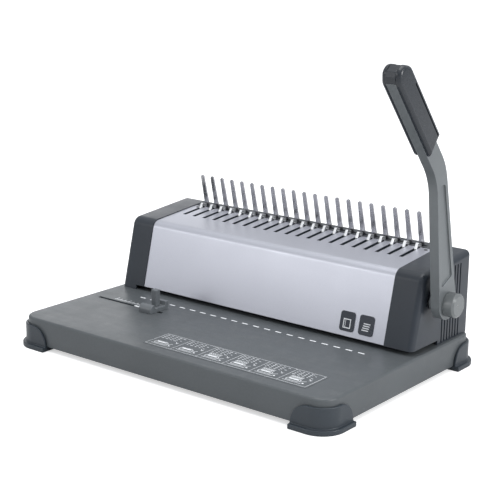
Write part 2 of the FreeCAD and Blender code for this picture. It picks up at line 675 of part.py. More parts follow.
def slab(wire, x, thickness):
    """A flat piece: a closed outline in the y-z plane, grown along x."""
    shape = Part.Face(wire).extrude(V(thickness, 0, 0))
    shape.translate(V(x, 0, 0))
    return shape


def disc(radius, y, z, x, thickness):
    return Part.makeCylinder(radius, thickness, V(x, y, z), V(1, 0, 0))


CAM_STEPS = 8
FLANK_STEPS = 5


def cam_shape(x):
    """The face that presses the bar follows an involute, so the bar sinks evenly as the lever turns."""
    y, z = size("pivot_y"), size("pivot_z")
    base, start, swing = size("cam_base"), size("cam_start"), math.radians(size("swing + cam_spare"))
    flank = []
    for step in range(CAM_STEPS + 1):
        turn = swing * step / CAM_STEPS
        reach = start + base * turn
        # the contact point, as it is in the lever's own frame once the lever has turned this far
        spot = V(0, -base, -reach)
        flank.append(V(0, y + spot.y * math.cos(turn) + spot.z * math.sin(turn),
                       z - spot.y * math.sin(turn) + spot.z * math.cos(turn)))
    hub = size("gear_hub")
    tip = flank[-1]
    back = in_plane(hub, math.radians(size("cam_back")), y, z)
    wire = Part.Wire([smooth(flank), line(tip, back), line(back, V(0, y, z)), line(V(0, y, z), flank[0])])
    lobe = slab(wire, x, size("cam_wide"))
    whole = lobe.fuse(disc(hub, y, z, x, size("cam_wide"))).removeSplitter()
    over = size("over")
    return whole.cut(disc(size("shaft_radius"), y, z, x - over, size("cam_wide") + 2 * over))


def gear_wire(teeth, y, z, first_angle):
    """An involute spur gear's outline with one tooth centred on first_angle."""
    module, backlash = size("gear_module"), size("backlash")
    pitch_radius = module * teeth / 2
    pressure = math.radians(size("pressure_angle"))
    base = pitch_radius * math.cos(pressure)
    tip, root = pitch_radius + module, pitch_radius - size("dedendum") * module
    half_pitch = math.pi / (2 * teeth) - backlash / (2 * pitch_radius)
    rolled = half_pitch + math.tan(pressure) - pressure

    def half_angle(radius):
        if radius <= base:
            return rolled
        angle = math.acos(base / radius)
        return rolled - (math.tan(angle) - angle)

    start = max(base, root)
    radii = [start + (tip - start) * step / FLANK_STEPS for step in range(FLANK_STEPS + 1)]
    edges, last = [], None
    for tooth in range(teeth):
        centre = first_angle + 2 * math.pi * tooth / teeth
        rising = [in_plane(r, centre - half_angle(r), y, z) for r in radii]
        falling = [in_plane(r, centre + half_angle(r), y, z) for r in reversed(radii)]
        foot_in = in_plane(root, centre - rolled, y, z)
        foot_out = in_plane(root, centre + rolled, y, z)
        if last is not None:
            edges.append(line(last, foot_in))
        else:
            first_foot = foot_in
        if start > root:
            edges.append(line(foot_in, rising[0]))
        edges += [smooth(rising), line(rising[-1], falling[0]), smooth(falling)]
        if start > root:
            edges.append(line(falling[-1], foot_out))
        last = foot_out
    edges.append(line(last, first_foot))
    return Part.Wire(edges)


def main_gear_shape(x):
    """Only the stretch of the gear that ever meets the idler, on a slim hub."""
    y, z, wide = size("pivot_y"), size("pivot_z"), size("gear_wide")
    whole = slab(gear_wire(int(size("main_teeth")), y, z, 0.0), x, wide)
    reach, over = size("main_pitch") * 3, size("over")
    low, high = math.radians(size("-swing - sector_spare")), math.radians(size("sector_spare"))
    wedge = Part.makePolygon([V(0, y, z), in_plane(reach, low, y, z), in_plane(reach, (low + high) / 2, y, z),
                              in_plane(reach, high, y, z), V(0, y, z)])
    sector = whole.common(slab(wedge, x, wide))
    hubbed = sector.fuse(disc(size("gear_hub"), y, z, x, wide)).removeSplitter()
    return hubbed.cut(disc(size("shaft_radius"), y, z, x - over, wide + 2 * over))


def idler_gear_shape(x, wide):
    y, z = size("idler_y"), size("pivot_z")
    teeth, over = int(size("idler_teeth")), size("over")
    gear = slab(gear_wire(teeth, y, z, math.pi + math.pi / teeth), x, wide)
    return gear.cut(disc(size("idler_radius"), y, z, x - over, wide + 2 * over))


def rack_shape(x):
    """A toothed strip under the idler; a tooth space stands under the idler's axis at rest."""
    module, mesh_y, line_z = size("gear_module"), size("idler_y"), size("rack_line")
    pitch, backlash = math.pi * module, size("backlash")
    tangent = math.tan(math.radians(size("pressure_angle")))
    tip, root, foot = line_z + module, size("rack_root"), size("rack_foot")

    def half_width(z):
        return pitch / 4 - backlash / 2 - (z - line_z) * tangent

    teeth = int(math.ceil(size("carriage_stroke") / pitch)) + 2
    outline = [V(0, mesh_y - pitch, foot), V(0, mesh_y - pitch, root)]
    for number in range(teeth):
        centre = mesh_y + number * pitch - pitch / 2
        for z, sign in ((root, -1), (tip, -1), (tip, 1), (root, 1)):
            outline.append(V(0, centre + sign * half_width(z), z))
    end = max(outline[-1].y, size("column_rear"))
    outline += [V(0, end, root), V(0, end, foot), outline[0]]
    return slab(Part.makePolygon(outline), x, size("rack_wide"))


def spring_shape(radius, wire, turns, foot, length, axis):
    """A coil spring as a wire swept along a helix, from its foot along the axis."""
    helix = Part.makeHelix(length / turns, length, radius)
    profile = Part.Wire(Part.makeCircle(wire / 2, V(radius, 0, 0), V(0, 1, 0)))
    coil = Part.Wire(helix).makePipeShell([profile], True, True)
    coil.Placement = FreeCAD.Placement(foot, FreeCAD.Rotation(V(0, 0, 1), axis))
    return coil


def mirrored_x(x, wide, side):
    return x if side > 0 else -x - wide


# ---------------------------------------------------------------- comb opener
def make_carriage():
    """The rail behind the slots with a C-shaped plate at each end that reaches down to its rack."""
    body = new_body("opener_carriage")
    rail = rectangle(new_sketch(body, "top", "rail_low"), "-tongue_end", "tongue_end",
                     "rail_front", "rail_rear")
    grow(body, rail, "rail_high - rail_low")
    for side in (-1, 1):
        outline = polygon(new_sketch(body, "side", f"{side} * plate_x"), [
            ("idler_y - plate_front", "rack_foot"), ("column_rear", "rack_foot"),
            ("column_rear", "rail_high"), ("rail_front", "rail_high"), ("rail_front", "rail_low"),
            ("column_front", "rail_low"), ("column_front", "rack_root"),
            ("idler_y - plate_front", "rack_root"),
        ])
        grow(body, outline, "plate_wide", backwards=side < 0)


def make_hooks():
    """One steel comb of hooks: a strip on the carriage and a hook up through every slot."""
    body = new_body("opener_hooks")
    strip = rectangle(new_sketch(body, "top", "rail_high"), "tine_first - hook_margin",
                      "tine_first + row_span + hook_margin", "hook_front", "rail_rear")
    grow(body, strip, "hook_sheet")
    hook = polygon(new_sketch(body, "side", "tine_first - hook_wide / 2"), [
        ("hook_front", "rail_high"), ("hook_front", "hook_tip"), ("hook_front + hook_slope", "hook_rise"),
        ("hook_rear", "hook_rise - hook_bar"), ("hook_rear", "hook_tip"),
        ("hook_rear - hook_bar", "hook_tip"), ("hook_rear - hook_bar", "hook_rise - 2 * hook_bar"),
        ("hook_front + hook_slope + hook_bar", "hook_rise - hook_crook"),
        ("hook_front + hook_foot", "hook_tip"), ("hook_front + hook_foot", "rail_high"),
    ])
    repeat(body, grow(body, hook, "hook_wide"), "row_span", "rings")


# ---------------------------------------------------------------- lever
def shank_edge(above, side):
    """A rim's width inside the shank's front (-1) or rear (1) edge, at a height above the pivot."""
    if side < 0:
        return f"pivot_y - hub_radius - (knee_front_y - hub_radius) * {above} / knee_front_z + recess_rim"
    return f"pivot_y + hub_radius - (knee_rear_y + hub_radius) * {above} / knee_rear_z - recess_rim"


def make_lever_arm():
    body = new_body("lever_arm")
    front_edge, rear_edge = "(-1 * grip_half)", "(grip_half - blade_step)"
    outline = polygon(new_sketch(body, "side", "lever_inner"), [
        ("pivot_y - hub_radius", "pivot_z"), ("pivot_y - knee_front_y", "pivot_z + knee_front_z"),
        grip_point("blade_length", front_edge), grip_point("blade_length", rear_edge),
        ("pivot_y - knee_rear_y", "pivot_z + knee_rear_z"), ("pivot_y + hub_radius", "pivot_z"),
    ])
    blade = grow(body, outline, "lever_outer - lever_inner")
    knees = [size("pivot_y - knee_front_y"), size("pivot_y - knee_rear_y")]
    round_off(body, blade, "knee_round", lambda m, ends, e: along(e, V(1, 0, 0))
              and any(near(m.y, knee) for knee in knees))
    eye = circle(new_sketch(body, "side", "lever_inner"), "pivot_y", "pivot_z", "hub_radius")
    grow(body, eye, "lever_outer - lever_inner")
    boss = circle(new_sketch(body, "side", "boss_inner"), "pivot_y", "pivot_z", "shaft_radius + boss_rim")
    grow(body, boss, "lever_inner - boss_inner + over")
    low, high = "(hub_radius + recess_low)", "(knee_front_z - recess_high)"
    rear_low = "(hub_radius + recess_low + recess_slant)"
    recess = polygon(new_sketch(body, "side", "lever_outer"), [
        (shank_edge(low, -1), f"pivot_z + {low}"), (shank_edge(high, -1), f"pivot_z + {high}"),
        (shank_edge(high, 1), f"pivot_z + {high}"), (shank_edge(rear_low, 1), f"pivot_z + {rear_low}"),
    ])
    recess = cut(body, recess, "recess_depth")
    deep = size("recess_depth")
    round_off(body, recess, "recess_round",
              lambda m, ends, e: along(e, V(1, 0, 0)) and near(e.Length, deep))
    bore = circle(new_sketch(body, "side", "boss_inner"), "pivot_y", "pivot_z", "shaft_radius")
    cut(body, bore, "lever_outer - boss_inner", backwards=True)


def grip_point(along_grip, across):
    """A point of the leaning grip, in the machine's y and z."""
    return (f"grip_foot_y - ({along_grip}) * grip_sin + ({across}) * grip_cos",
            f"grip_foot_z + ({along_grip}) * grip_cos + ({across}) * grip_sin")


def make_grip_shell(name, side):
    """One half of the hand grip, drawn upright and then tipped forward with the lever's end."""
    body = new_body(name, "grip_lean", "0", "grip_foot_y", "grip_foot_z")
    start = "lever_outer" if side > 0 else "lever_inner"
    outline = polygon(new_sketch(body, "side", start), [
        ("-grip_half", "0"), ("grip_half", "shell_step"), ("grip_half", "grip_length - grip_back_drop"),
        ("crown_rear", "grip_length"), ("-crown_front", "grip_length"),
        ("-grip_half", "grip_length - grip_front_drop"),
    ])
    shell = grow(body, outline, "grip_thick", backwards=side < 0)
    middle = size("grip_length") / 2
    shell = round_off(body, shell, "grip_corner",
                      lambda m, ends, e: along(e, V(1, 0, 0)) and m.z > middle)
    outer = size(start) + side * size("grip_thick")
    round_off(body, shell, "grip_round", lambda m, ends, e: all(near(p.x, outer) for p in ends))
    flute = rectangle(new_sketch(body, "side", f"{start} + {side} * grip_thick"),
                      "grip_half - flute_inset - flute_wide", "grip_half - flute_inset",
                      "-over", "grip_length - grip_back_drop - flute_end")
    cut(body, flute, "flute_deep", backwards=side < 0)


def make_grip_end():
    """The bridge that closes the grip over the blade's end."""
    body = new_body("grip_end", "grip_lean", "0", "grip_foot_y", "grip_foot_z")
    outline = polygon(new_sketch(body, "side", "lever_inner"), [
        ("-grip_half", "blade_length + fit"), ("grip_half - blade_step", "blade_length + fit"),
        ("crown_rear", "grip_length - end_sink"), ("-crown_front", "grip_length - end_sink"),
        ("-end_front", "grip_length - end_drop"),
    ])
    grow(body, outline, "lever_outer - lever_inner")


def at_hub(body, x, radius):
    """A circle about the lever's axis, on the side plane at x."""
    return circle(new_sketch(body, "side", x), "pivot_y", "pivot_z", radius)


def make_hub_pieces():
    washer = new_body("hub_washer")
    grow(washer, at_hub(washer, "lever_outer", "washer_radius"), "washer_thick")
    cut(washer, at_hub(washer, "lever_outer", "screw_radius + fit"), "washer_thick", backwards=True)
    screw = new_body("hub_screw")
    grow(screw, at_hub(screw, "lever_outer + washer_thick", "shaft_radius"), "hub_screw_head")
    grow(screw, at_hub(screw, "lever_outer + washer_thick", "screw_radius"), "screw_length", backwards=True)
    cap = new_body("hub_cap")
    dome = grow(cap, at_hub(cap, "lever_outer", "cap_radius"), "cap_length")
    end = size("knob_out")
    round_off(cap, dome, "cap_bevel", lambda m, ends, e: near(m.x, end), "Chamfer")
    cut(cap, at_hub(cap, "lever_outer", "cap_radius - cap_skin"), "cap_length - cap_skin", backwards=True)


# ---------------------------------------------------------------- chip drawer and edge guide
def make_drawer():
    body = new_body("chip_drawer")
    left = "-(half_width + fit)"
    tray = rectangle(new_sketch(body, "top", "drawer_low"), left, f"{left} + drawer_length",
                     "drawer_front_y", "drawer_rear_y")
    grow(body, tray, "drawer_high - drawer_low")
    hollow = rectangle(new_sketch(body, "top", "drawer_high"), f"{left} + drawer_front",
                       f"{left} + drawer_length - drawer_wall", "drawer_front_y + drawer_wall",
                       "drawer_rear_y - drawer_wall")
    cut(body, hollow, "drawer_high - drawer_low - drawer_wall")
    face = rectangle(new_sketch(body, "side", left), "drawer_front_y - face_side",
                     "drawer_rear_y + face_side", "drawer_low - face_rise", "drawer_high + face_rise")
    grow(body, face, "drawer_wall", backwards=True)
    pull = new_body("drawer_pull")
    root, lip = f"{left} - drawer_wall", f"{left} - drawer_wall - pull_proud"
    ledge = polygon(new_sketch(pull, "front", "mid_drawer + pull_half"), [
        (root, "drawer_low + pull_low"), (root, "drawer_high - pull_high"),
        (lip, "drawer_high - pull_high"), (lip, "drawer_high - pull_high - pull_lip"),
    ])
    grow(pull, ledge, "2 * pull_half")


def make_edge_guide():
    block = new_body("edge_guide")
    x_low, x_high = "guide_x - guide_long / 2", "guide_x + guide_long / 2"
    y_low, y_high = "guide_y - guide_deep / 2 + guide_shift", "guide_y + guide_deep / 2 + guide_shift"
    floor, top = "base_top + running", "base_top + running + guide_rise"
    body = grow(block, rectangle(new_sketch(block, "top", floor), x_low, x_high, y_low, y_high), "guide_rise")
    front_y, high = size(y_low), size(top)
    round_off(block, body, "guide_round",
              lambda m, ends, e: along(e, V(1, 0, 0)) and near(m.y, front_y) and near(m.z, high))
    bed, mouth = "base_top + guide_rise / 2", f"{top} + over"
    trough = polygon(new_sketch(block, "side", x_low), [
        (f"{y_low} + trough_front", bed), (f"{y_high} - trough_rear", bed),
        (f"{y_high} - trough_rear + trough_flare", mouth), (f"{y_low} + trough_front - trough_flare", mouth),
    ])
    cut(block, trough, "guide_long", backwards=True)
    tongue = rectangle(new_sketch(block, "top", "base_top + over"), f"{x_low} + guide_foot",
                       f"{x_high} - guide_foot", "guide_y - guide_slot / 2 + fit",
                       "guide_y + guide_slot / 2 - fit")
    grow(block, tongue, "base_wall + over + fit", backwards=True)
    post = new_body("edge_guide_post")
    column = rectangle(new_sketch(post, "top", bed), "guide_x - post_side / 2", "guide_x + post_side / 2",
                       "guide_y + post_shift", "guide_y + post_shift + post_side")
    column = grow(post, column, "post_rise - guide_rise / 2")
    round_off(post, column, "post_round", lambda m, ends, e: along(e, V(0, 0, 1)))
    clip = new_body("edge_guide_clip")
    plate = rectangle(new_sketch(clip, "top", "base_top - base_wall - fit"), f"{x_low} + clip_inset",
                      f"{x_high} - clip_inset", "guide_y - guide_slot * 2", "guide_y + guide_slot * 2")
    grow(clip, plate, "clip_thick", backwards=True)
    strip = new_body("edge_guide_pointer")
    bar = rectangle(new_sketch(strip, "top", "base_top - pointer_sink"), f"{x_low} - pointer_reach",
                    f"{x_low} + pointer_root", "guide_y - guide_slot / 2 + pointer_gap",
                    "guide_y + guide_slot / 2 - pointer_gap")
    grow(strip, bar, "pointer_thick", backwards=True)


def make_label():
    body = new_body("instruction_label")
    outline = rectangle(new_sketch(body, "top", "base_top"), "label_left", "label_left + label_wide",
                        "label_front", "label_front + label_deep")
    film = grow(body, outline, "label_thick")
    round_off(body, film, "label_round", lambda m, ends, e: along(e, V(0, 0, 1)))


make_base_shell()
make_base_cover()
make_base_screws()
for y_word, y_sign in (("front", -1), ("rear", 1)):
    for x_word, x_sign in (("left", -1), ("right", 1)):
        make_foot(f"foot_{y_word}_{x_word}", x_sign, f"base_{y_word}", y_sign)
make_front_cover()
make_rear_cover()
make_rake_holder()
make_comb_rake()
make_badges()
make_panel_screws()
make_die_plate()
make_stripper_plate()
make_paper_stop()
make_punch_bar()
make_punch_pins()
make_main_shaft()
make_idler_shaft()
make_carriage()
make_hooks()
make_lever_arm()
make_grip_shell("grip_inner_shell", -1)
make_grip_shell("grip_outer_shell", 1)
make_grip_end()
make_hub_pieces()
make_drawer()
make_edge_guide()
make_label()
for word, side in (("left", -1), ("right", 1)):
    make_end_cap(f"{word}_end_cap", side)
    make_side_frame(f"side_frame_{word}", side)
    make_bush(f"shaft_bush_{word}", side)
    solid(f"punch_cam_{word}", cam_shape(mirrored_x(size("cam_x"), size("cam_wide"), side)))
    solid(f"opener_gear_{word}", main_gear_shape(mirrored_x(size("gear_x"), size("gear_wide"), side)))
    wide = size("plate_x - gear_gap - gear_x")
    solid(f"idler_gear_{word}", idler_gear_shape(mirrored_x(size("gear_x"), wide, side), wide))
    solid(f"opener_rack_{word}", rack_shape(mirrored_x(size("rack_x"), size("rack_wide"), side)))
    solid(f"bar_spring_{word}", spring_shape(
        size("spring_radius"), size("spring_wire"), size("spring_turns"),
        V(side * size("spring_x"), size("pin_y"), size("stripper_top + spring_gap")),
        size("bar_low - stripper_top - 2 * spring_gap"), V(0, 0, 1)))
solid("lever_spring", spring_shape(
    size("shaft_radius + coil_gap"), size("coil_wire"), size("coil_turns"),
    V(size("coil_x"), size("pivot_y"), size("pivot_z")), size("coil_length"), V(1, 0, 0)))


# ---------------------------------------------------------------- checks and export
def finish():
    doc.recompute()
    faults = []
    for thing in doc.Objects:
        if "Invalid" in thing.State or "Error" in thing.State:
            owner = [group.Label for group in thing.InList if group.Label in pieces]
            faults.append(f"{owner} {thing.Label}: {thing.State}")
    for name, thing in pieces.items():
        if thing.Shape.isNull() or not thing.Shape.isValid() or not thing.Shape.Solids:
            faults.append(f"{name}: no valid solid")
    if faults:
        raise SystemExit("\n".join(faults))
    os.makedirs("parts", exist_ok=True)
    for name, thing in pieces.items():
        thing.Shape.exportStep(f"parts/{name}.step")
    print(len(pieces), "pieces written")


finish()
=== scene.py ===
# %% [markdown]
# # A comb binding machine, dressed for a studio picture
# The machine punches a row of holes in a stack of paper and then opens a plastic comb with its steel hooks.
# Its solids come from the imported frame, so every place and size here is read from that frame. What is added
# here is what a solid model leaves out: softened edges, printed marks, grain, brushing, flake, handling marks
# and dust, with a highlight painted along edges and shade painted inside the hook slots.

# %% Load the frame
import json
import math

import bmesh
import bpy
from mathutils import Matrix, Vector


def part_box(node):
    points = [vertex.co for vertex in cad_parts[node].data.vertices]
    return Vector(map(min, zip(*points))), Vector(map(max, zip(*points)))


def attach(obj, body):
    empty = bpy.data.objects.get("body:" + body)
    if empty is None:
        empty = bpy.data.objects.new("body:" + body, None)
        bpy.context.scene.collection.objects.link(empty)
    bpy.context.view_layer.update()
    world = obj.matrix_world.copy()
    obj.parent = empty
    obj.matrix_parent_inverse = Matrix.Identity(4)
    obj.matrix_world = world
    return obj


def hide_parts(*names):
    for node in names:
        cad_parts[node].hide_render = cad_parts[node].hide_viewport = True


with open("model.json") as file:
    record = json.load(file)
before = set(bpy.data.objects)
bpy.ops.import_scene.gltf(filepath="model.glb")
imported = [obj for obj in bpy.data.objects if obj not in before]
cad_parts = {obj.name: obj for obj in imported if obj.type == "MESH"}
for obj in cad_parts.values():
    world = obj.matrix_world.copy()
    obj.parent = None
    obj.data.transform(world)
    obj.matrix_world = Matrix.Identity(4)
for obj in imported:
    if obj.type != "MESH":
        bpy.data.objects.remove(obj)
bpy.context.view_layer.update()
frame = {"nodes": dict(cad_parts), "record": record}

MM = 0.001
slot_of = {part["node"]: part["material_slot"] for part in frame["record"]["subparts"]}
body_of = {node: body for body, nodes in frame["record"]["behaviour"]["bodies"].items() for node in nodes}

# %% [markdown]
# ## Building shader groups
# A material is a small network. Effects that several finishes share - moulded grain, handling marks, rubbed
# edges, brushing lines, paint flake - are each built once as a node group. A group only puts out values
# that change over the surface; the Principled shader itself stays in each material, where its plain
# numbers can be read by an exporter. All patterns are placed by Object coordinates, in metres, so they
# neither slide nor stretch when a piece moves with its body.

# %% A helper that opens a new shader group
def new_group(name, inputs, outputs):
    """A shader group with named value inputs {name: default} and a list of output names."""
    group = bpy.data.node_groups.new(name, "ShaderNodeTree")
    for title, default in inputs.items():
        socket = group.interface.new_socket(title, in_out="INPUT", socket_type="NodeSocketFloat")
        socket.default_value = default
    for title in outputs:
        group.interface.new_socket(title, in_out="OUTPUT", socket_type="NodeSocketFloat")
    return group, group.nodes.new("NodeGroupInput"), group.nodes.new("NodeGroupOutput")


def add(tree, kind, **settings):
    """Add a node and set its properties."""
    node = tree.nodes.new(kind)
    for name, value in settings.items():
        setattr(node, name, value)
    return node


def math_node(tree, operation, first, second):
    """A math node; each input is a socket to link or a plain number."""
    node = add(tree, "ShaderNodeMath", operation=operation)
    for place, value in enumerate((first, second)):
        if isinstance(value, (int, float)):
            node.inputs[place].default_value = value
        else:
            tree.links.new(value, node.inputs[place])
    return node.outputs[0]


def noise(tree, vector, scale, detail=2.0, roughness=0.5):
    """Three-dimensional noise; the scale is a socket or a number of waves per metre."""
    node = add(tree, "ShaderNodeTexNoise")
    tree.links.new(vector, node.inputs["Vector"])
    if isinstance(scale, (int, float)):
        node.inputs["Scale"].default_value = scale
    else:
        tree.links.new(scale, node.inputs["Scale"])
    node.inputs["Detail"].default_value = detail
    node.inputs["Roughness"].default_value = roughness
    return node.outputs["Fac"]


def spread(tree, value, low, high):
    """Stretch the part of a value between low and high to the full range from 0 to 1."""
    node = add(tree, "ShaderNodeMapRange", clamp=True)
    tree.links.new(value, node.inputs["Value"])
    node.inputs["From Min"].default_value = low
    node.inputs["From Max"].default_value = high
    return node.outputs["Result"]


# %% [markdown]
# ### Moulded grain
# Housings of office machines are moulded in tools whose walls are spark-eroded, which leaves a fine pebble
# on the plastic. Two sizes of noise give the pebble's height; a much larger noise gives the faint change of
# shade that keeps a broad moulded face from looking like one flat colour.

# %% The grain group
def make_grain():
    tree, given, out = new_group("moulded grain", {"Pebbles per metre": 1500.0}, ["Height", "Shade"])
    place = add(tree, "ShaderNodeTexCoord").outputs["Object"]
    fine = noise(tree, place, given.outputs["Pebbles per metre"], 3.0, 0.6)
    half = math_node(tree, "MULTIPLY", given.outputs["Pebbles per metre"], 0.4)
    coarse = noise(tree, place, half, 1.0)
    tree.links.new(math_node(tree, "ADD", fine, math_node(tree, "MULTIPLY", coarse, 0.6)),
                   out.inputs["Height"])
    drift = noise(tree, place, 9.0, 2.0)
    speck = noise(tree, place, 420.0, 1.0)
    both = math_node(tree, "ADD", math_node(tree, "MULTIPLY", drift, 0.75),
                     math_node(tree, "MULTIPLY", speck, 0.25))
    tree.links.new(spread(tree, both, 0.35, 0.65), out.inputs["Shade"])
    return tree


grain = make_grain()

# %% [markdown]
# ### Handling marks and dust
# Hands polish some places and leave others dull. Long soft noise makes patches of different gloss, and a
# second noise, stretched along the machine, makes the faint wiping streaks that a cloth leaves.
# Upward faces also gather a little dust: the normal's upward part, in the object's own axes, masks it.

# %% The handling group
def make_handling():
    tree, given, out = new_group("handling marks", {"Patches per metre": 28.0}, ["Dull", "Dust"])
    coordinates = add(tree, "ShaderNodeTexCoord")
    place = coordinates.outputs["Object"]
    patches = noise(tree, place, given.outputs["Patches per metre"], 4.0, 0.6)
    stretch = add(tree, "ShaderNodeMapping")
    stretch.inputs["Scale"].default_value = (0.12, 1.0, 1.0)
    tree.links.new(place, stretch.inputs["Vector"])
    streaks = noise(tree, stretch.outputs["Vector"], 160.0, 3.0)
    mixed = math_node(tree, "ADD", math_node(tree, "MULTIPLY", patches, 0.7),
                      math_node(tree, "MULTIPLY", streaks, 0.3))
    tree.links.new(spread(tree, mixed, 0.36, 0.64), out.inputs["Dull"])
    axes = add(tree, "ShaderNodeSeparateXYZ")
    tree.links.new(coordinates.outputs["Normal"], axes.inputs[0])
    upward = spread(tree, axes.outputs["Z"], 0.7, 1.0)
    motes = spread(tree, noise(tree, place, 60.0, 5.0, 0.7), 0.5, 0.8)
    tree.links.new(math_node(tree, "MULTIPLY", upward, motes), out.inputs["Dust"])
    return tree


handling = make_handling()

# %% [markdown]
# ### Painted edge highlight
# A Bevel node rounds the shading normal near an edge. Where that rounded normal leaves the true normal there
# is an edge, and that difference, broken up by noise, is the mask of a lighter line along the edge: a
# highlight painted into the colour, where lamps light a rounded corner.

# %% The painted edge highlight group
def make_painted_edge_highlight():
    tree, given, out = new_group("painted edge highlight", {"Reach": 0.0009, "Strength": 1.0}, ["Edge"])
    rounded = add(tree, "ShaderNodeBevel", samples=4)
    tree.links.new(given.outputs["Reach"], rounded.inputs["Radius"])
    surface = add(tree, "ShaderNodeNewGeometry")
    compare = add(tree, "ShaderNodeVectorMath", operation="DOT_PRODUCT")
    tree.links.new(rounded.outputs["Normal"], compare.inputs[0])
    tree.links.new(surface.outputs["Normal"], compare.inputs[1])
    away = spread(tree, math_node(tree, "SUBTRACT", 1.0, compare.outputs["Value"]), 0.02, 0.22)
    place = add(tree, "ShaderNodeTexCoord").outputs["Object"]
    broken = spread(tree, noise(tree, place, 140.0, 4.0), 0.3, 0.62)
    mask = math_node(tree, "MULTIPLY", math_node(tree, "MULTIPLY", away, broken), given.outputs["Strength"])
    tree.links.new(mask, out.inputs["Edge"])
    return tree


edges = make_painted_edge_highlight()

# %% [markdown]
# ### Brushing lines and paint flake
# Rolled and ground steel carries fine parallel lines: noise squeezed hard across one axis. Silver paint is
# clear lacquer over aluminium flakes, each of which tilts its own way: small cells of random value.

# %% The brushing and flake groups
def make_brushing():
    tree, given, out = new_group("brushing lines", {"Along X": 0.02, "Along Z": 1.0}, ["Height", "Tone"])
    place = add(tree, "ShaderNodeTexCoord").outputs["Object"]
    squeeze = add(tree, "ShaderNodeCombineXYZ")
    tree.links.new(given.outputs["Along X"], squeeze.inputs["X"])
    squeeze.inputs["Y"].default_value = 1.0
    tree.links.new(given.outputs["Along Z"], squeeze.inputs["Z"])
    stretched = add(tree, "ShaderNodeVectorMath", operation="MULTIPLY")
    tree.links.new(place, stretched.inputs[0])
    tree.links.new(squeeze.outputs[0], stretched.inputs[1])
    lines = noise(tree, stretched.outputs["Vector"], 2600.0, 3.0, 0.7)
    stains = noise(tree, place, 45.0, 3.0)
    tree.links.new(lines, out.inputs["Height"])
    tone = math_node(tree, "ADD", math_node(tree, "MULTIPLY", lines, 0.5),
                     math_node(tree, "MULTIPLY", stains, 0.5))
    tree.links.new(spread(tree, tone, 0.38, 0.62), out.inputs["Tone"])
    return tree


def make_flake():
    tree, given, out = new_group("paint flake", {"Flakes per metre": 5200.0}, ["Glint", "Height"])
    place = add(tree, "ShaderNodeTexCoord").outputs["Object"]
    cells = add(tree, "ShaderNodeTexVoronoi")
    tree.links.new(place, cells.inputs["Vector"])
    tree.links.new(given.outputs["Flakes per metre"], cells.inputs["Scale"])
    split = add(tree, "ShaderNodeSeparateColor")
    tree.links.new(cells.outputs["Color"], split.inputs[0])
    tree.links.new(split.outputs[0], out.inputs["Glint"])
    tree.links.new(noise(tree, place, 700.0, 2.0), out.inputs["Height"])
    return tree


brushing = make_brushing()
flake = make_flake()
print("shader groups:", [group.name for group in bpy.data.node_groups])

# %% [markdown]
# ## Finishes
# One function for each family of finish. The tint is the colour in linear light. Each finish mixes a darker
# and a lighter tint by the group's shade, paints a highlight along edges, and varies its gloss by handling.

# %% Parts that every finish needs
def new_finish(name, specular=0.5):
    material = bpy.data.materials.new(name.replace("_", " "))
    material.use_nodes = True
    shader = material.node_tree.nodes["Principled BSDF"]
    shader.inputs["Specular IOR Level"].default_value = specular
    return material, material.node_tree, shader


def use_group(tree, group, **values):
    node = add(tree, "ShaderNodeGroup", node_tree=group)
    for name, value in values.items():
        node.inputs[name.replace("_", " ")].default_value = value
    return node.outputs


def blend_colours(tree, mask, low, high):
    """Mix two colours by a mask; each colour is a tuple or a socket."""
    node = add(tree, "ShaderNodeMix", data_type="RGBA")
    tree.links.new(mask, node.inputs[0])
    for place, colour in ((6, low), (7, high)):
        if isinstance(colour, tuple):
            node.inputs[place].default_value = (*colour, 1.0)
        else:
            tree.links.new(colour, node.inputs[place])
    return node.outputs[2]


def set_range(tree, mask, low, high, target):
    node = add(tree, "ShaderNodeMapRange", clamp=True)
    tree.links.new(mask, node.inputs["Value"])
    node.inputs["To Min"].default_value = low
    node.inputs["To Max"].default_value = high
    tree.links.new(node.outputs["Result"], target)


def set_bump(tree, height, depth, shader):
    bump = add(tree, "ShaderNodeBump")
    bump.inputs["Distance"].default_value = depth
    tree.links.new(height, bump.inputs["Height"])
    tree.links.new(bump.outputs["Normal"], shader.inputs["Normal"])


def toned(tint, share):
    """The same colour, this share brighter (or darker, below nothing)."""
    return tuple(min(1.0, channel * (1.0 + share)) for channel in tint)


# %% [markdown]
# ### Moulded plastic, rubber and soft grips
# All moulded parts share one recipe and differ in tint, gloss, pebble size, how strong the highlight painted
# along their edges is, and how much dust they catch.

# %% Moulded finish
def moulded(name, tint, gloss, pebbles=1500.0, depth=0.00004, edge_highlight_strength=0.35, dust=0.1, contrast=0.08,
            specular=0.5):
    material, tree, shader = new_finish(name, specular)
    pebble = use_group(tree, grain, Pebbles_per_metre=pebbles)
    touch = use_group(tree, handling)
    painted_edge = use_group(tree, edges, Strength=edge_highlight_strength)
    colour = blend_colours(tree, pebble["Shade"], toned(tint, -contrast), toned(tint, contrast))
    # Painted highlight: near edges the colour is lifted to more than twice the tint.
    colour = blend_colours(tree, painted_edge["Edge"], colour, toned(tint, 1.2))
    dusty = math_node(tree, "MULTIPLY", touch["Dust"], dust)
    colour = blend_colours(tree, dusty, colour, (0.34, 0.33, 0.31))
    tree.links.new(colour, shader.inputs["Base Color"])
    set_range(tree, touch["Dull"], gloss - 0.04, gloss + 0.06, shader.inputs["Roughness"])
    set_bump(tree, pebble["Height"], depth, shader)
    return material


# %% [markdown]
# ### Painted and bare metal
# Silver paint gets its flake and a satin clear coat. Bare steel is fully metallic, with brushing lines that
# run along the sheet it was cut from; plated hooks are brighter and smoother.

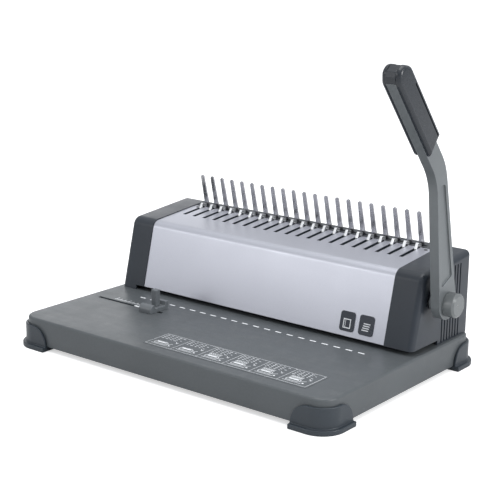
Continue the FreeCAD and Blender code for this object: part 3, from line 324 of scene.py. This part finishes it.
# %% Silver paint
def silver_paint(name, tint, gloss):
    material, tree, shader = new_finish(name)
    glitter = use_group(tree, flake)
    touch = use_group(tree, handling, Patches_per_metre=16.0)
    painted_edge = use_group(tree, edges, Strength=0.5)
    colour = blend_colours(tree, glitter["Glint"], toned(tint, -0.05), toned(tint, 0.05))
    # Painted highlight: near edges the silver is lifted about a third above its tint.
    colour = blend_colours(tree, painted_edge["Edge"], colour, toned(tint, 0.35))
    tree.links.new(colour, shader.inputs["Base Color"])
    shader.inputs["Metallic"].default_value = 0.85
    set_range(tree, touch["Dull"], gloss - 0.03, gloss + 0.05, shader.inputs["Roughness"])
    set_bump(tree, glitter["Height"], 0.00002, shader)
    return material


# %% Satin machine paint on the lever
def satin_paint(name, tint, gloss):
    material, tree, shader = new_finish(name)
    glitter = use_group(tree, flake, Flakes_per_metre=2600.0)
    touch = use_group(tree, handling, Patches_per_metre=40.0)
    painted_edge = use_group(tree, edges, Strength=0.8)
    colour = blend_colours(tree, touch["Dull"], toned(tint, -0.06), toned(tint, 0.06))
    # Painted highlight: near edges the paint is lifted to nearly twice its tint.
    colour = blend_colours(tree, painted_edge["Edge"], colour, toned(tint, 0.9))
    tree.links.new(colour, shader.inputs["Base Color"])
    shader.inputs["Metallic"].default_value = 0.25
    set_range(tree, touch["Dull"], gloss - 0.05, gloss + 0.06, shader.inputs["Roughness"])
    set_bump(tree, glitter["Height"], 0.00006, shader)
    return material


# %% Bare and plated metal
def bare_metal(name, tint, gloss, along_x=0.02, along_z=1.0, depth=0.000012, contrast=0.12):
    material, tree, shader = new_finish(name)
    lines = use_group(tree, brushing, Along_X=along_x, Along_Z=along_z)
    painted_edge = use_group(tree, edges, Reach=0.0005, Strength=0.7)
    colour = blend_colours(tree, lines["Tone"], toned(tint, -contrast), toned(tint, contrast))
    # Painted highlight: near edges the metal is lifted 40 per cent above its tint.
    colour = blend_colours(tree, painted_edge["Edge"], colour, toned(tint, 0.4))
    tree.links.new(colour, shader.inputs["Base Color"])
    shader.inputs["Metallic"].default_value = 1.0
    set_range(tree, lines["Tone"], gloss - 0.05, gloss + 0.08, shader.inputs["Roughness"])
    set_bump(tree, lines["Height"], depth, shader)
    return material


# %% Print and film
def printed(name, tint, gloss=0.55):
    """Screen-printed ink: nearly even, a little thin in places."""
    material, tree, shader = new_finish(name, 0.35)
    pebble = use_group(tree, grain, Pebbles_per_metre=2600.0)
    colour = blend_colours(tree, pebble["Shade"], toned(tint, -0.1), toned(tint, 0.05))
    tree.links.new(colour, shader.inputs["Base Color"])
    set_range(tree, pebble["Shade"], gloss - 0.05, gloss + 0.05, shader.inputs["Roughness"])
    set_bump(tree, pebble["Height"], 0.00001, shader)
    return material


# %% The finish of every slot in the record
finish_of = {
    "base_plastic": moulded("base_plastic", (0.078, 0.087, 0.093), 0.4, 1700.0, 0.00003, specular=0.42),
    "bottom_plate": moulded("bottom_plate", (0.035, 0.037, 0.04), 0.5, 900.0, 0.00006),
    # The feet get the strongest painted edge highlight, standing for the light along the rims of their arches
    # and soles.
    "foot_rubber": moulded("foot_rubber", (0.026, 0.034, 0.043), 0.36, 2400.0, 0.00003, edge_highlight_strength=1.0, dust=0.12,
                           specular=0.45),
    "silver_panel": silver_paint("silver_panel", (0.52, 0.53, 0.585), 0.36),
    "cap_plastic": moulded("cap_plastic", (0.026, 0.032, 0.041), 0.32, 2300.0, 0.000012, edge_highlight_strength=0.12, dust=0.02,
                           specular=0.36),
    "rear_plastic": moulded("rear_plastic", (0.04, 0.045, 0.052), 0.46, 1500.0),
    "comb_steel": bare_metal("comb_steel", (0.42, 0.42, 0.44), 0.26, along_x=1.0, along_z=0.03, contrast=0.2),
    "hook_steel": bare_metal("hook_steel", (0.93, 0.94, 0.95), 0.32, contrast=0.04),
    "tool_steel": bare_metal("tool_steel", (0.42, 0.43, 0.45), 0.3),
    "frame_steel": bare_metal("frame_steel", (0.5, 0.5, 0.49), 0.42, along_x=1.0),
    "bush_bronze": bare_metal("bush_bronze", (0.55, 0.36, 0.17), 0.38, along_x=1.0),
    "spring_steel": bare_metal("spring_steel", (0.3, 0.3, 0.31), 0.3, along_x=1.0),
    "screw_steel": bare_metal("screw_steel", (0.16, 0.16, 0.17), 0.34, along_x=1.0),
    "lever_paint": satin_paint("lever_paint", (0.15, 0.163, 0.17), 0.36),
    "grip_plastic": moulded("grip_plastic", (0.018, 0.022, 0.028), 0.24, 1900.0, 0.00001, edge_highlight_strength=0.15,
                            dust=0.02),
    "hub_plastic": moulded("hub_plastic", (0.12, 0.13, 0.133), 0.24, 1700.0, 0.00001, dust=0.04,
                           specular=0.6),
    "badge_print": moulded("badge_print", (0.028, 0.033, 0.045), 0.24, 2600.0, 0.00001, edge_highlight_strength=0.5, dust=0.0),
    "label_film": moulded("label_film", (0.08, 0.089, 0.095), 0.34, 2600.0, 0.00001, edge_highlight_strength=0.2, specular=0.42),
    "drawer_plastic": moulded("drawer_plastic", (0.05, 0.055, 0.062), 0.4, 1600.0),
    "guide_plastic": moulded("guide_plastic", (0.13, 0.142, 0.152), 0.32, 1700.0, 0.00002, edge_highlight_strength=0.7),
    "pointer_white": printed("pointer_white", (0.82, 0.83, 0.84)),
}
ink = printed("white_ink", (0.8, 0.82, 0.84))
missing = sorted(set(slot_of.values()) - set(finish_of))
print("finishes:", len(finish_of), "slots without one:", missing)

# %% [markdown]
# ## Pieces that are seen from outside
# A real moulded or stamped part has no perfectly sharp edge, and it is that tiny round which catches the
# light. Each outer solid is copied, its loose triangles are merged into clean faces, and its hard edges are
# rounded by a fraction of a millimetre. The finished copy then stands for the solid, which stays in the
# frame for the mechanics.

# %% A helper that settles a piece on its body
def settle(piece, body, slot, material=None):
    """Turn live modifiers into plain mesh and fasten the piece to its body."""
    graph = bpy.context.evaluated_depsgraph_get()
    mesh = bpy.data.meshes.new_from_object(piece.evaluated_get(graph))
    piece.modifiers.clear()
    piece.data = mesh
    mesh.materials.clear()
    mesh.materials.append(material or finish_of[slot])
    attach(piece, body)
    return piece


def link_new(name, mesh):
    piece = bpy.data.objects.new(name, mesh)
    bpy.context.scene.collection.objects.link(piece)
    return piece


# %% Softened copies of the outer solids
# Flat triangles are joined into larger faces before the edges are rounded. That loses the ribbed face of the
# right end cap, so that one keeps its triangles. Known fault, not mended here: the large faces with many
# notches or holes on rake_holder, stripper_plate and die_plate are split back into stray triangles, which
# cover part of the plates' holes. The areas printed below are those of the faces, so they don't show it.
KEEP_TRIANGLES = ("right_end_cap",)


def soften(node, edge=0.4, steps=2, sharp=28.0):
    """A copy of a solid with its sharp edges rounded by edge millimetres."""
    mesh = frame["nodes"][node].data.copy()
    for layer in ("custom_normal", "sharp_edge", "sharp_face"):
        if layer in mesh.attributes:
            mesh.attributes.remove(mesh.attributes[layer])
    form = bmesh.new()
    form.from_mesh(mesh)
    bmesh.ops.remove_doubles(form, verts=form.verts, dist=0.003 * MM)
    if node not in KEEP_TRIANGLES:
        bmesh.ops.dissolve_limit(form, angle_limit=math.radians(0.6), verts=form.verts, edges=form.edges)
    for face in form.faces:
        face.smooth = True
    form.to_mesh(mesh)
    form.free()
    piece = link_new(node + "_outer", mesh)
    round_edges = piece.modifiers.new("rounded edges", "BEVEL")
    round_edges.width = edge * MM
    round_edges.segments = steps
    round_edges.limit_method = "ANGLE"
    round_edges.angle_limit = math.radians(sharp)
    round_edges.miter_outer = "MITER_ARC"
    round_edges.harden_normals = True
    settle(piece, body_of[node], slot_of[node])
    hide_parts(node)
    return piece


edge_size = {
    "base_shell": 0.5, "front_cover": 0.35, "left_end_cap": 0.5, "right_end_cap": 0.5, "rear_cover": 0.4,
    "rake_holder": 0.35, "comb_rake": 0.3, "opener_hooks": 0.3, "front_badges": 0.25, "panel_screws": 0.2,
    "lever_arm": 0.8, "grip_inner_shell": 0.4, "grip_outer_shell": 0.4, "grip_end": 0.5, "hub_cap": 0.5,
    "chip_drawer": 0.4, "drawer_pull": 0.4, "edge_guide": 0.5, "edge_guide_post": 0.6,
    "edge_guide_pointer": 0.15, "instruction_label": 0.08, "base_bottom_cover": 0.3,
    "stripper_plate": 0.2, "die_plate": 0.15, "paper_stop": 0.15,
    "foot_front_left": 0.9, "foot_front_right": 0.9, "foot_rear_left": 0.9, "foot_rear_right": 0.9,
}


def area(mesh):
    return sum(face.area for face in mesh.polygons)


change = {}
for node, edge in edge_size.items():
    change[node] = area(soften(node, edge).data) / area(frame["nodes"][node].data) - 1.0
for node, thing in frame["nodes"].items():
    thing.data.materials.clear()
    thing.data.materials.append(finish_of[slot_of[node]])
print("softened pieces:", len(edge_size), "inner solids kept as they are:", len(slot_of) - len(edge_size))
ranked = sorted((round(share, 3), node) for node, share in change.items())
print("share of surface lost, worst three:", ranked[:3], "gained:", ranked[-3:])

# %% [markdown]
# ### Linings of the slots
# Dark linings paint the shade inside the hook slots: each slot gets a thin dark lining along its two sides
# and its front end, just below the silver edge, so that its walls show dark.

# %% Slot linings of painted shade
cover_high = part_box("front_cover")[1]
rake_low, rake_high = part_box("comb_rake")
RINGS = 21
SLOT_WIDE, SLOT_LONG, SHEET, LINING = 4.6 * MM, 34.5 * MM, 2.5 * MM, 0.3 * MM
TOP_SLOPE = 0.092
TINE_ROOT = 6.2 * MM
slot_pitch = (rake_high.x - rake_low.x - 2 * TINE_ROOT) / (RINGS - 1)


def slope_block(form, x_range, y_range, under, deep):
    """A block whose top and bottom follow the sloping roof."""
    corners = [(x, y) for x in x_range for y in y_range]
    points = []
    for below in (under + deep, under):
        for x, y in corners:
            roof = cover_high.z - TOP_SLOPE * (cover_high.y - y)
            points.append(form.verts.new((x, y, roof - below)))
    for face in ((0, 1, 3, 2), (4, 5, 7, 6), (0, 1, 5, 4), (2, 3, 7, 6), (0, 2, 6, 4), (1, 3, 7, 5)):
        form.faces.new([points[i] for i in face])


slot_shade_form = bmesh.new()
slot_front = cover_high.y - SLOT_LONG
for ring in range(RINGS):
    middle = rake_low.x + TINE_ROOT + ring * slot_pitch
    for side in (-1, 1):
        wall = sorted((middle + side * SLOT_WIDE / 2, middle + side * (SLOT_WIDE / 2 - LINING)))
        slope_block(slot_shade_form, wall, (slot_front, cover_high.y), 0.12 * MM, SHEET - 0.2 * MM)
    ends = (middle - SLOT_WIDE / 2 + LINING, middle + SLOT_WIDE / 2 - LINING)
    slope_block(slot_shade_form, ends, (slot_front, slot_front + LINING), 0.12 * MM, SHEET - 0.2 * MM)
bmesh.ops.recalc_face_normals(slot_shade_form, faces=slot_shade_form.faces)
slot_shade_mesh = bpy.data.meshes.new("painted_slot_shade")
slot_shade_form.to_mesh(slot_shade_mesh)
slot_shade_form.free()
# The dark cap plastic of the linings is painted shade for the inside of the narrow slots.
settle(link_new("painted_slot_shade", slot_shade_mesh), "machine", "cap_plastic")
print("slots lined:", RINGS, "at a pitch of", round(slot_pitch / MM, 3), "mm")

# %% [markdown]
# ## Printed marks in a row
# The base carries a row of white dashes, one for each hole that the machine will punch, so that the paper
# can be lined up. A row is what Geometry Nodes are good at: one rounded dash is drawn, placed on the points
# of a line, and made real. The ink is given a true thickness of a tenth of a millimetre.

# %% The tree that prints a row of dashes
def plug(tree, value, socket):
    """Link a socket to an input, or set a plain value there."""
    if isinstance(value, bpy.types.NodeSocket):
        tree.links.new(value, socket)
    else:
        socket.default_value = value


def make_dash_row():
    tree = bpy.data.node_groups.new("row of dashes", "GeometryNodeTree")
    sockets = {"Count": "NodeSocketInt", "Pitch": "NodeSocketFloat", "Length": "NodeSocketFloat",
               "Width": "NodeSocketFloat", "Thickness": "NodeSocketFloat", "Seed": "NodeSocketInt",
               "Shorten": "NodeSocketFloat", "Ink": "NodeSocketMaterial", "Start": "NodeSocketVector"}
    for title, kind in sockets.items():
        tree.interface.new_socket(title, in_out="INPUT", socket_type=kind)
    tree.interface.new_socket("Geometry", in_out="OUTPUT", socket_type="NodeSocketGeometry")
    given, out = tree.nodes.new("NodeGroupInput").outputs, tree.nodes.new("NodeGroupOutput")
    step = add(tree, "ShaderNodeCombineXYZ")
    plug(tree, given["Pitch"], step.inputs["X"])
    points = add(tree, "GeometryNodeMeshLine", mode="OFFSET")
    plug(tree, given["Count"], points.inputs["Count"])
    plug(tree, given["Start"], points.inputs["Start Location"])
    plug(tree, step.outputs[0], points.inputs["Offset"])
    outline = add(tree, "GeometryNodeCurvePrimitiveQuadrilateral")
    plug(tree, given["Length"], outline.inputs["Width"])
    plug(tree, given["Width"], outline.inputs["Height"])
    corner = add(tree, "GeometryNodeFilletCurve", mode="POLY")
    corner.inputs[1].default_value = 3
    plug(tree, outline.outputs[0], corner.inputs["Curve"])
    plug(tree, math_node(tree, "MULTIPLY", given["Width"], 0.3), corner.inputs["Radius"])
    face = add(tree, "GeometryNodeFillCurve", mode="NGONS")
    plug(tree, corner.outputs[0], face.inputs["Curve"])
    raised = add(tree, "GeometryNodeExtrudeMesh")
    raised.inputs["Individual"].default_value = False
    plug(tree, face.outputs[0], raised.inputs["Mesh"])
    plug(tree, given["Thickness"], raised.inputs["Offset Scale"])
    under = add(tree, "GeometryNodeFlipFaces")
    plug(tree, face.outputs[0], under.inputs["Mesh"])
    closed = add(tree, "GeometryNodeJoinGeometry")
    plug(tree, raised.outputs["Mesh"], closed.inputs[0])
    plug(tree, under.outputs["Mesh"], closed.inputs[0])
    whole = add(tree, "GeometryNodeMergeByDistance")
    whole.inputs["Distance"].default_value = 0.000001
    plug(tree, closed.outputs[0], whole.inputs["Geometry"])
    shrink = add(tree, "FunctionNodeRandomValue", data_type="FLOAT")
    least = math_node(tree, "SUBTRACT", 1.0, given["Shorten"])
    floats = [socket for socket in shrink.inputs if socket.type == "VALUE"]
    plug(tree, least, floats[0])
    floats[1].default_value = 1.0
    plug(tree, given["Seed"], shrink.inputs["Seed"])
    size = add(tree, "ShaderNodeCombineXYZ")
    numbers = [socket for socket in shrink.outputs if socket.type == "VALUE"]
    plug(tree, numbers[0], size.inputs["X"])
    size.inputs["Y"].default_value = 1.0
    size.inputs["Z"].default_value = 1.0
    placed = add(tree, "GeometryNodeInstanceOnPoints")
    plug(tree, points.outputs[0], placed.inputs["Points"])
    plug(tree, whole.outputs[0], placed.inputs["Instance"])
    plug(tree, size.outputs[0], placed.inputs["Scale"])
    real = add(tree, "GeometryNodeRealizeInstances")
    plug(tree, placed.outputs[0], real.inputs[0])
    inked = add(tree, "GeometryNodeSetMaterial")
    plug(tree, real.outputs[0], inked.inputs["Geometry"])
    plug(tree, given["Ink"], inked.inputs["Material"])
    plug(tree, inked.outputs[0], out.inputs[0])
    return tree


dash_row = make_dash_row()


def print_row(name, body, slot, start, count, pitch, length, width, thickness=0.1 * MM, shorten=0.0, seed=1):
    """Evaluate the row of dashes with these sizes and keep it as plain mesh."""
    piece = link_new(name, bpy.data.meshes.new(name))
    row = piece.modifiers.new("dashes", "NODES")
    row.node_group = dash_row
    values = {"Count": count, "Pitch": pitch, "Length": length, "Width": width, "Thickness": thickness,
              "Seed": seed, "Shorten": shorten, "Ink": ink, "Start": tuple(start)}
    for item in dash_row.interface.items_tree:
        if item.in_out == "INPUT":
            row[item.identifier] = values[item.name]
    return settle(piece, body, slot, ink)


# %% The dashes that show where the holes will be
base_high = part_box("base_shell")[1]
pins_low, pins_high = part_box("punch_pins")
guide_low, guide_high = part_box("edge_guide")
PIN_LONG = 8 * MM
pitch = (pins_high.x - pins_low.x - PIN_LONG) / (RINGS - 1)
DASH_FROM_PINS = 47.3 * MM
dash_y = (pins_low.y + pins_high.y) / 2 - DASH_FROM_PINS
print_row("hole_marks", "machine", "pointer_white", (pins_low.x + PIN_LONG / 2, dash_y, base_high.z),
          RINGS, pitch, 7.4 * MM, 1.9 * MM)
print("hole marks:", RINGS, "at a pitch of", round(pitch / MM, 3), "mm")

# %% [markdown]
# ## Line drawings on the label and the badges
# The label explains the machine in six small drawings. They are drawn here as flat ink: each line is a
# ribbon with mitred corners, each filled shape a polygon, both raised by a tenth of a millimetre or less.
# The drawings are plain machine outlines, punched sheets and arrows; where words would stand there are only
# short bars. The badges show a punched page and a stack of sheets.

# %% Ribbons and filled shapes
def ribbon(points, width, closed=False):
    """The left and right sides of a line of even width through points of a plane."""
    count = len(points)
    left, right = [], []
    for i, here in enumerate(points):
        before = points[i - 1] if closed or i else None
        after = points[(i + 1) % count] if closed or i < count - 1 else None
        way_in = (here - before).normalized() if before is not None else (after - here).normalized()
        way_out = (after - here).normalized() if after is not None else way_in
        across = Vector((-way_in.y - way_out.y, way_in.x + way_out.x)).normalized()
        slack = max(0.4, across.dot(Vector((-way_in.y, way_in.x))))
        left.append(here + across * (width / 2 / slack))
        right.append(here - across * (width / 2 / slack))
    return left, right


class Drawing:
    """Collects flat shapes in one plane and raises them into solid ink."""

    def __init__(self, place, thickness):
        self.form, self.place, self.thickness = bmesh.new(), place, thickness

    def fill(self, points):
        """A closed shape; its corners run counter-clockwise."""
        tops = [self.form.verts.new(self.place @ Vector((p.x, p.y, self.thickness))) for p in points]
        feet = [self.form.verts.new(self.place @ Vector((p.x, p.y, 0.0))) for p in points]
        self.form.faces.new(tops)
        self.form.faces.new(reversed(feet))
        for i in range(len(points)):
            k = (i + 1) % len(points)
            self.form.faces.new((feet[i], feet[k], tops[k], tops[i]))

    def line(self, points, width, closed=False):
        left, right = ribbon([Vector(p) for p in points], width, closed)
        count = len(points)
        for i in range(count if closed else count - 1):
            k = (i + 1) % count
            self.fill([right[i], right[k], left[k], left[i]])

    def disc(self, centre, radius, sides=12):
        turns = [2 * math.pi * i / sides for i in range(sides)]
        self.fill([Vector((centre[0] + radius * math.cos(a), centre[1] + radius * math.sin(a)))
                   for a in turns])

    def piece(self, name, body, slot):
        bmesh.ops.recalc_face_normals(self.form, faces=self.form.faces)
        mesh = bpy.data.meshes.new(name)
        self.form.to_mesh(mesh)
        self.form.free()
        return settle(link_new(name, mesh), body, slot, ink)


# %% The six drawings of the label
label_low, label_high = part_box("instruction_label")
label_size = label_high - label_low
INK = 0.06 * MM
CELLS = 6
FINE_LINE = 0.3 * MM
BOLD_LINE = 0.55 * MM
label = Drawing(Matrix.Translation((label_low.x, label_low.y, label_high.z)), INK)
margin = 2.2 * MM
cell_wide = (label_size.x - 2 * margin) / CELLS


def box_outline(left, low, right, high):
    return [Vector((left, low)), Vector((right, low)), Vector((right, high)), Vector((left, high))]


def draw_machine(pen, x, y):
    """A tiny side-on machine: a filled body, a base line, a lever and its knob."""
    body = [(0.5, 2.2), (14.5, 2.2), (15.5, 6.2), (13.0, 8.0), (1.5, 8.0), (0.0, 5.0)]
    pen.line([Vector((x + u * MM, y + v * MM)) for u, v in body], BOLD_LINE, closed=True)
    pen.fill(box_outline(x + 2.0 * MM, y + 5.0 * MM, x + 13.0 * MM, y + 7.0 * MM))
    pen.line([(x - 1.5 * MM, y), (x + 19.0 * MM, y)], BOLD_LINE)
    pen.line([(x + 15.8 * MM, y + 3.0 * MM), (x + 20.5 * MM, y + 7.4 * MM)], BOLD_LINE)
    pen.disc((x + 20.2 * MM, y + 1.6 * MM), 1.1 * MM)


def draw_sheet(pen, x, y, holes):
    """A sheet of paper over the machine, with its row of punched holes."""
    pen.line(box_outline(x, y, x + 13.0 * MM, y + 4.0 * MM), FINE_LINE, closed=True)
    for i in range(holes):
        u = x + (1.3 + i * 10.4 / max(1, holes - 1)) * MM
        pen.fill(box_outline(u - 0.45 * MM, y + 0.9 * MM, u + 0.45 * MM, y + 2.9 * MM))


label.line(box_outline(margin, margin, label_size.x - margin, label_size.y - margin), FINE_LINE, closed=True)
for cell in range(CELLS):
    left = margin + cell * cell_wide
    if cell:
        label.line([(left, margin + FINE_LINE), (left, label_size.y - margin - FINE_LINE)], FINE_LINE)
    draw_machine(label, left + 5.0 * MM, margin + 4.5 * MM)
    if cell >= CELLS // 3:
        draw_sheet(label, left + 5.5 * MM, margin + 14.2 * MM, 3 + cell)
    tip = Vector((left + 27.5 * MM, margin + 15.5 * MM))
    label.line([tip + Vector((-3.5 * MM, 3.5 * MM)), tip], BOLD_LINE)
    label.fill([tip, tip + Vector((0.4 * MM, 2.4 * MM)), tip + Vector((-2.0 * MM, -0.2 * MM))])
label.piece("label_drawings", "machine", "pointer_white")

# %% The short bars that stand where words would be
BAR_ROWS = 4
for row in range(BAR_ROWS):
    for cell in range(CELLS):
        left = label_low.x + margin + cell * cell_wide + 4.0 * MM
        start = (left, label_high.y - margin - (3.0 + 3.1 * row) * MM, label_high.z)
        print_row(f"label_bars_{row}_{cell}", "machine", "pointer_white", start, 5 - (row + cell) % 2,
                  5.2 * MM, 3.6 * MM, 0.7 * MM, INK, shorten=0.6, seed=11 + 7 * row + cell)

# %% The scale beside the edge guide
scale = Drawing(Matrix.Translation((guide_low.x, guide_high.y, base_high.z)), 0.1 * MM)
for tick in range(7):
    x = (-50 + tick * 6.0) * MM
    scale.line([(x, -10.0 * MM), (x, (-6.5 if tick % 3 else -4.5) * MM)], 0.6 * MM)
scale.line([(-52.0 * MM, -10.3 * MM), (-12.0 * MM, -10.3 * MM)], 0.6 * MM)
scale.piece("guide_scale", "machine", "pointer_white")

# %% The white face of the pointer
pointer_low, pointer_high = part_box("edge_guide_pointer")
pointer_middle = (pointer_low.y + pointer_high.y) / 2
pointer = Drawing(Matrix.Translation((pointer_low.x, pointer_middle, base_high.z)), 0.3 * MM)
seen_long = guide_low.x - pointer_low.x
pointer.fill(box_outline(0.0, -1.4 * MM, seen_long, 1.4 * MM))
pointer.fill([Vector((0.0, -1.4 * MM)), Vector((0.0, 1.4 * MM)), Vector((-1.6 * MM, 0.0))])
pointer.piece("pointer_face", "guide", "pointer_white")

# %% [markdown]
# ## Badges on the leaning front
# Two small tiles lie on the silver panel. Their faces lean with it, so their symbols are drawn in a plane
# that is turned about x by the panel's lean, from its foot to its brow.

# %% The badges' symbols
badge_low, badge_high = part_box("front_badges")
FOOT_Y, FOOT_Z = 19.0, 37.2
BROW_Y, BROW_Z = 36.5, 109.0
LEAN = math.atan2(BROW_Y - FOOT_Y, BROW_Z - FOOT_Z)
TILE = 17.0 * MM
turn = Matrix.Rotation(math.pi / 2 - LEAN, 4, "X")
for number, left in enumerate((badge_low.x, badge_high.x - TILE)):
    foot = Vector((left, badge_low.y, badge_low.z + 0.8 * MM * math.sin(LEAN)))
    symbol = Drawing(Matrix.Translation(foot) @ turn, 0.1 * MM)
    if number == 0:
        symbol.line(box_outline(4.6 * MM, 3.6 * MM, 12.4 * MM, 12.2 * MM), 0.9 * MM, closed=True)
        for hole in range(4):
            symbol.disc((6.6 * MM, (4.9 + 2.0 * hole) * MM), 0.55 * MM)
    else:
        for sheet in range(4):
            start, rise = (4.0 + 0.5 * sheet) * MM, (5.0 + 2.2 * sheet) * MM
            symbol.line([(start, rise), (start + 7.6 * MM, rise)], 0.9 * MM)
    symbol.piece(f"badge_symbol_{number + 1}", "machine", "pointer_white")

# %% [markdown]
# ## The studio
# A pale floor runs far behind the machine and meets a white backdrop. To the eye of the camera both are
# bright; to the machine the surroundings fall off from a bright ceiling to a dim horizon, as between the
# flags and panels of a real studio, and it is this fall-off that models the dark faces.

# %% Floor
floor_mesh = bpy.data.meshes.new("floor")
REACH = 30.0
floor_mesh.from_pydata([(-REACH, -REACH, 0), (REACH, -REACH, 0), (REACH, REACH, 0), (-REACH, REACH, 0)],
                       [], [(0, 1, 2, 3)])
floor = link_new("studio_floor", floor_mesh)
floor_finish, floor_tree, floor_shader = new_finish("pale floor", 0.1)
floor_grain = use_group(floor_tree, grain, Pebbles_per_metre=300.0)
floor_tint = blend_colours(floor_tree, floor_grain["Shade"], (0.78, 0.78, 0.78), (0.8, 0.8, 0.8))
floor_tree.links.new(floor_tint, floor_shader.inputs["Base Color"])
floor_shader.inputs["Roughness"].default_value = 0.85
floor_shader.inputs["Emission Color"].default_value = (1.0, 1.0, 1.0, 1.0)
seen = add(floor_tree, "ShaderNodeLightPath").outputs["Is Camera Ray"]
floor_tree.links.new(math_node(floor_tree, "MULTIPLY", seen, 0.55), floor_shader.inputs["Emission Strength"])
floor_mesh.materials.append(floor_finish)


# %% Light panels
def softbox(name, centre, aim, wide, high, power):
    lamp = bpy.data.lights.new(name, "AREA")
    lamp.shape = "RECTANGLE"
    lamp.size, lamp.size_y, lamp.energy = wide, high, power
    holder = bpy.data.objects.new(name, lamp)
    holder.location = centre
    holder.rotation_euler = (Vector(aim) - Vector(centre)).to_track_quat("-Z", "Y").to_euler()
    holder.visible_camera = False
    bpy.context.scene.collection.objects.link(holder)


softbox("overhead_softbox", (0.1, 0.0, 1.9), (0, 0, 0), 1.5, 1.2, 16.0)
softbox("left_rear_strip", (-1.3, 1.1, 0.4), (-0.1, 0, 0.03), 0.55, 0.5, 1.3)
softbox("front_softbox", (-1.15, -1.75, 0.8), (-0.05, 0, 0.1), 1.2, 0.7, 5.5)
softbox("right_softbox", (2.1, 0.1, 0.9), (0, 0, 0.15), 0.9, 1.0, 24.0)

# %% Surroundings
tent = bpy.data.worlds.new("white tent")
bpy.context.scene.world = tent
tent.use_nodes = True
tent_tree = tent.node_tree
sky = tent_tree.nodes["Background"]
axes = add(tent_tree, "ShaderNodeSeparateXYZ")
tent_tree.links.new(add(tent_tree, "ShaderNodeTexCoord").outputs["Generated"], axes.inputs[0])
ceiling = spread(tent_tree, axes.outputs["Z"], -0.1, 0.9)
surround = blend_colours(tent_tree, ceiling, (0.3, 0.31, 0.33), (0.95, 0.97, 1.0))
seen = add(tent_tree, "ShaderNodeLightPath").outputs["Is Camera Ray"]
tent_tree.links.new(blend_colours(tent_tree, seen, surround, (1.0, 1.0, 1.0)), sky.inputs["Color"])
sky.inputs["Strength"].default_value = 1.0

# %% [markdown]
# ## The camera
# It stands to the front right, a little above the machine, with a long lens that keeps the outline calm.

# %% Camera
AZIMUTH, ELEVATION, ROLL = math.radians(38.21), math.radians(14.546), math.radians(0.645)
EYE = Vector((0.76459, -0.97415, 0.43268))
LENS, SENSOR_WIDE = 91.06, 36.0
back = Vector((math.sin(AZIMUTH) * math.cos(ELEVATION), -math.cos(AZIMUTH) * math.cos(ELEVATION),
               math.sin(ELEVATION)))
level = Vector((math.cos(AZIMUTH), math.sin(AZIMUTH), 0.0))
upright = back.cross(level)
right = level * math.cos(ROLL) + upright * math.sin(ROLL)
above = back.cross(right)
camera_data = bpy.data.cameras.new("studio_camera")
camera_data.sensor_width = SENSOR_WIDE
camera_data.lens = LENS
camera_data.clip_start, camera_data.clip_end = 0.05, 200.0
camera = bpy.data.objects.new("studio_camera", camera_data)
camera.matrix_world = Matrix.Translation(EYE) @ Matrix((right, above, back)).transposed().to_4x4()
bpy.context.scene.collection.objects.link(camera)
bpy.context.scene.camera = camera
bpy.context.scene.view_settings.view_transform = "Standard"
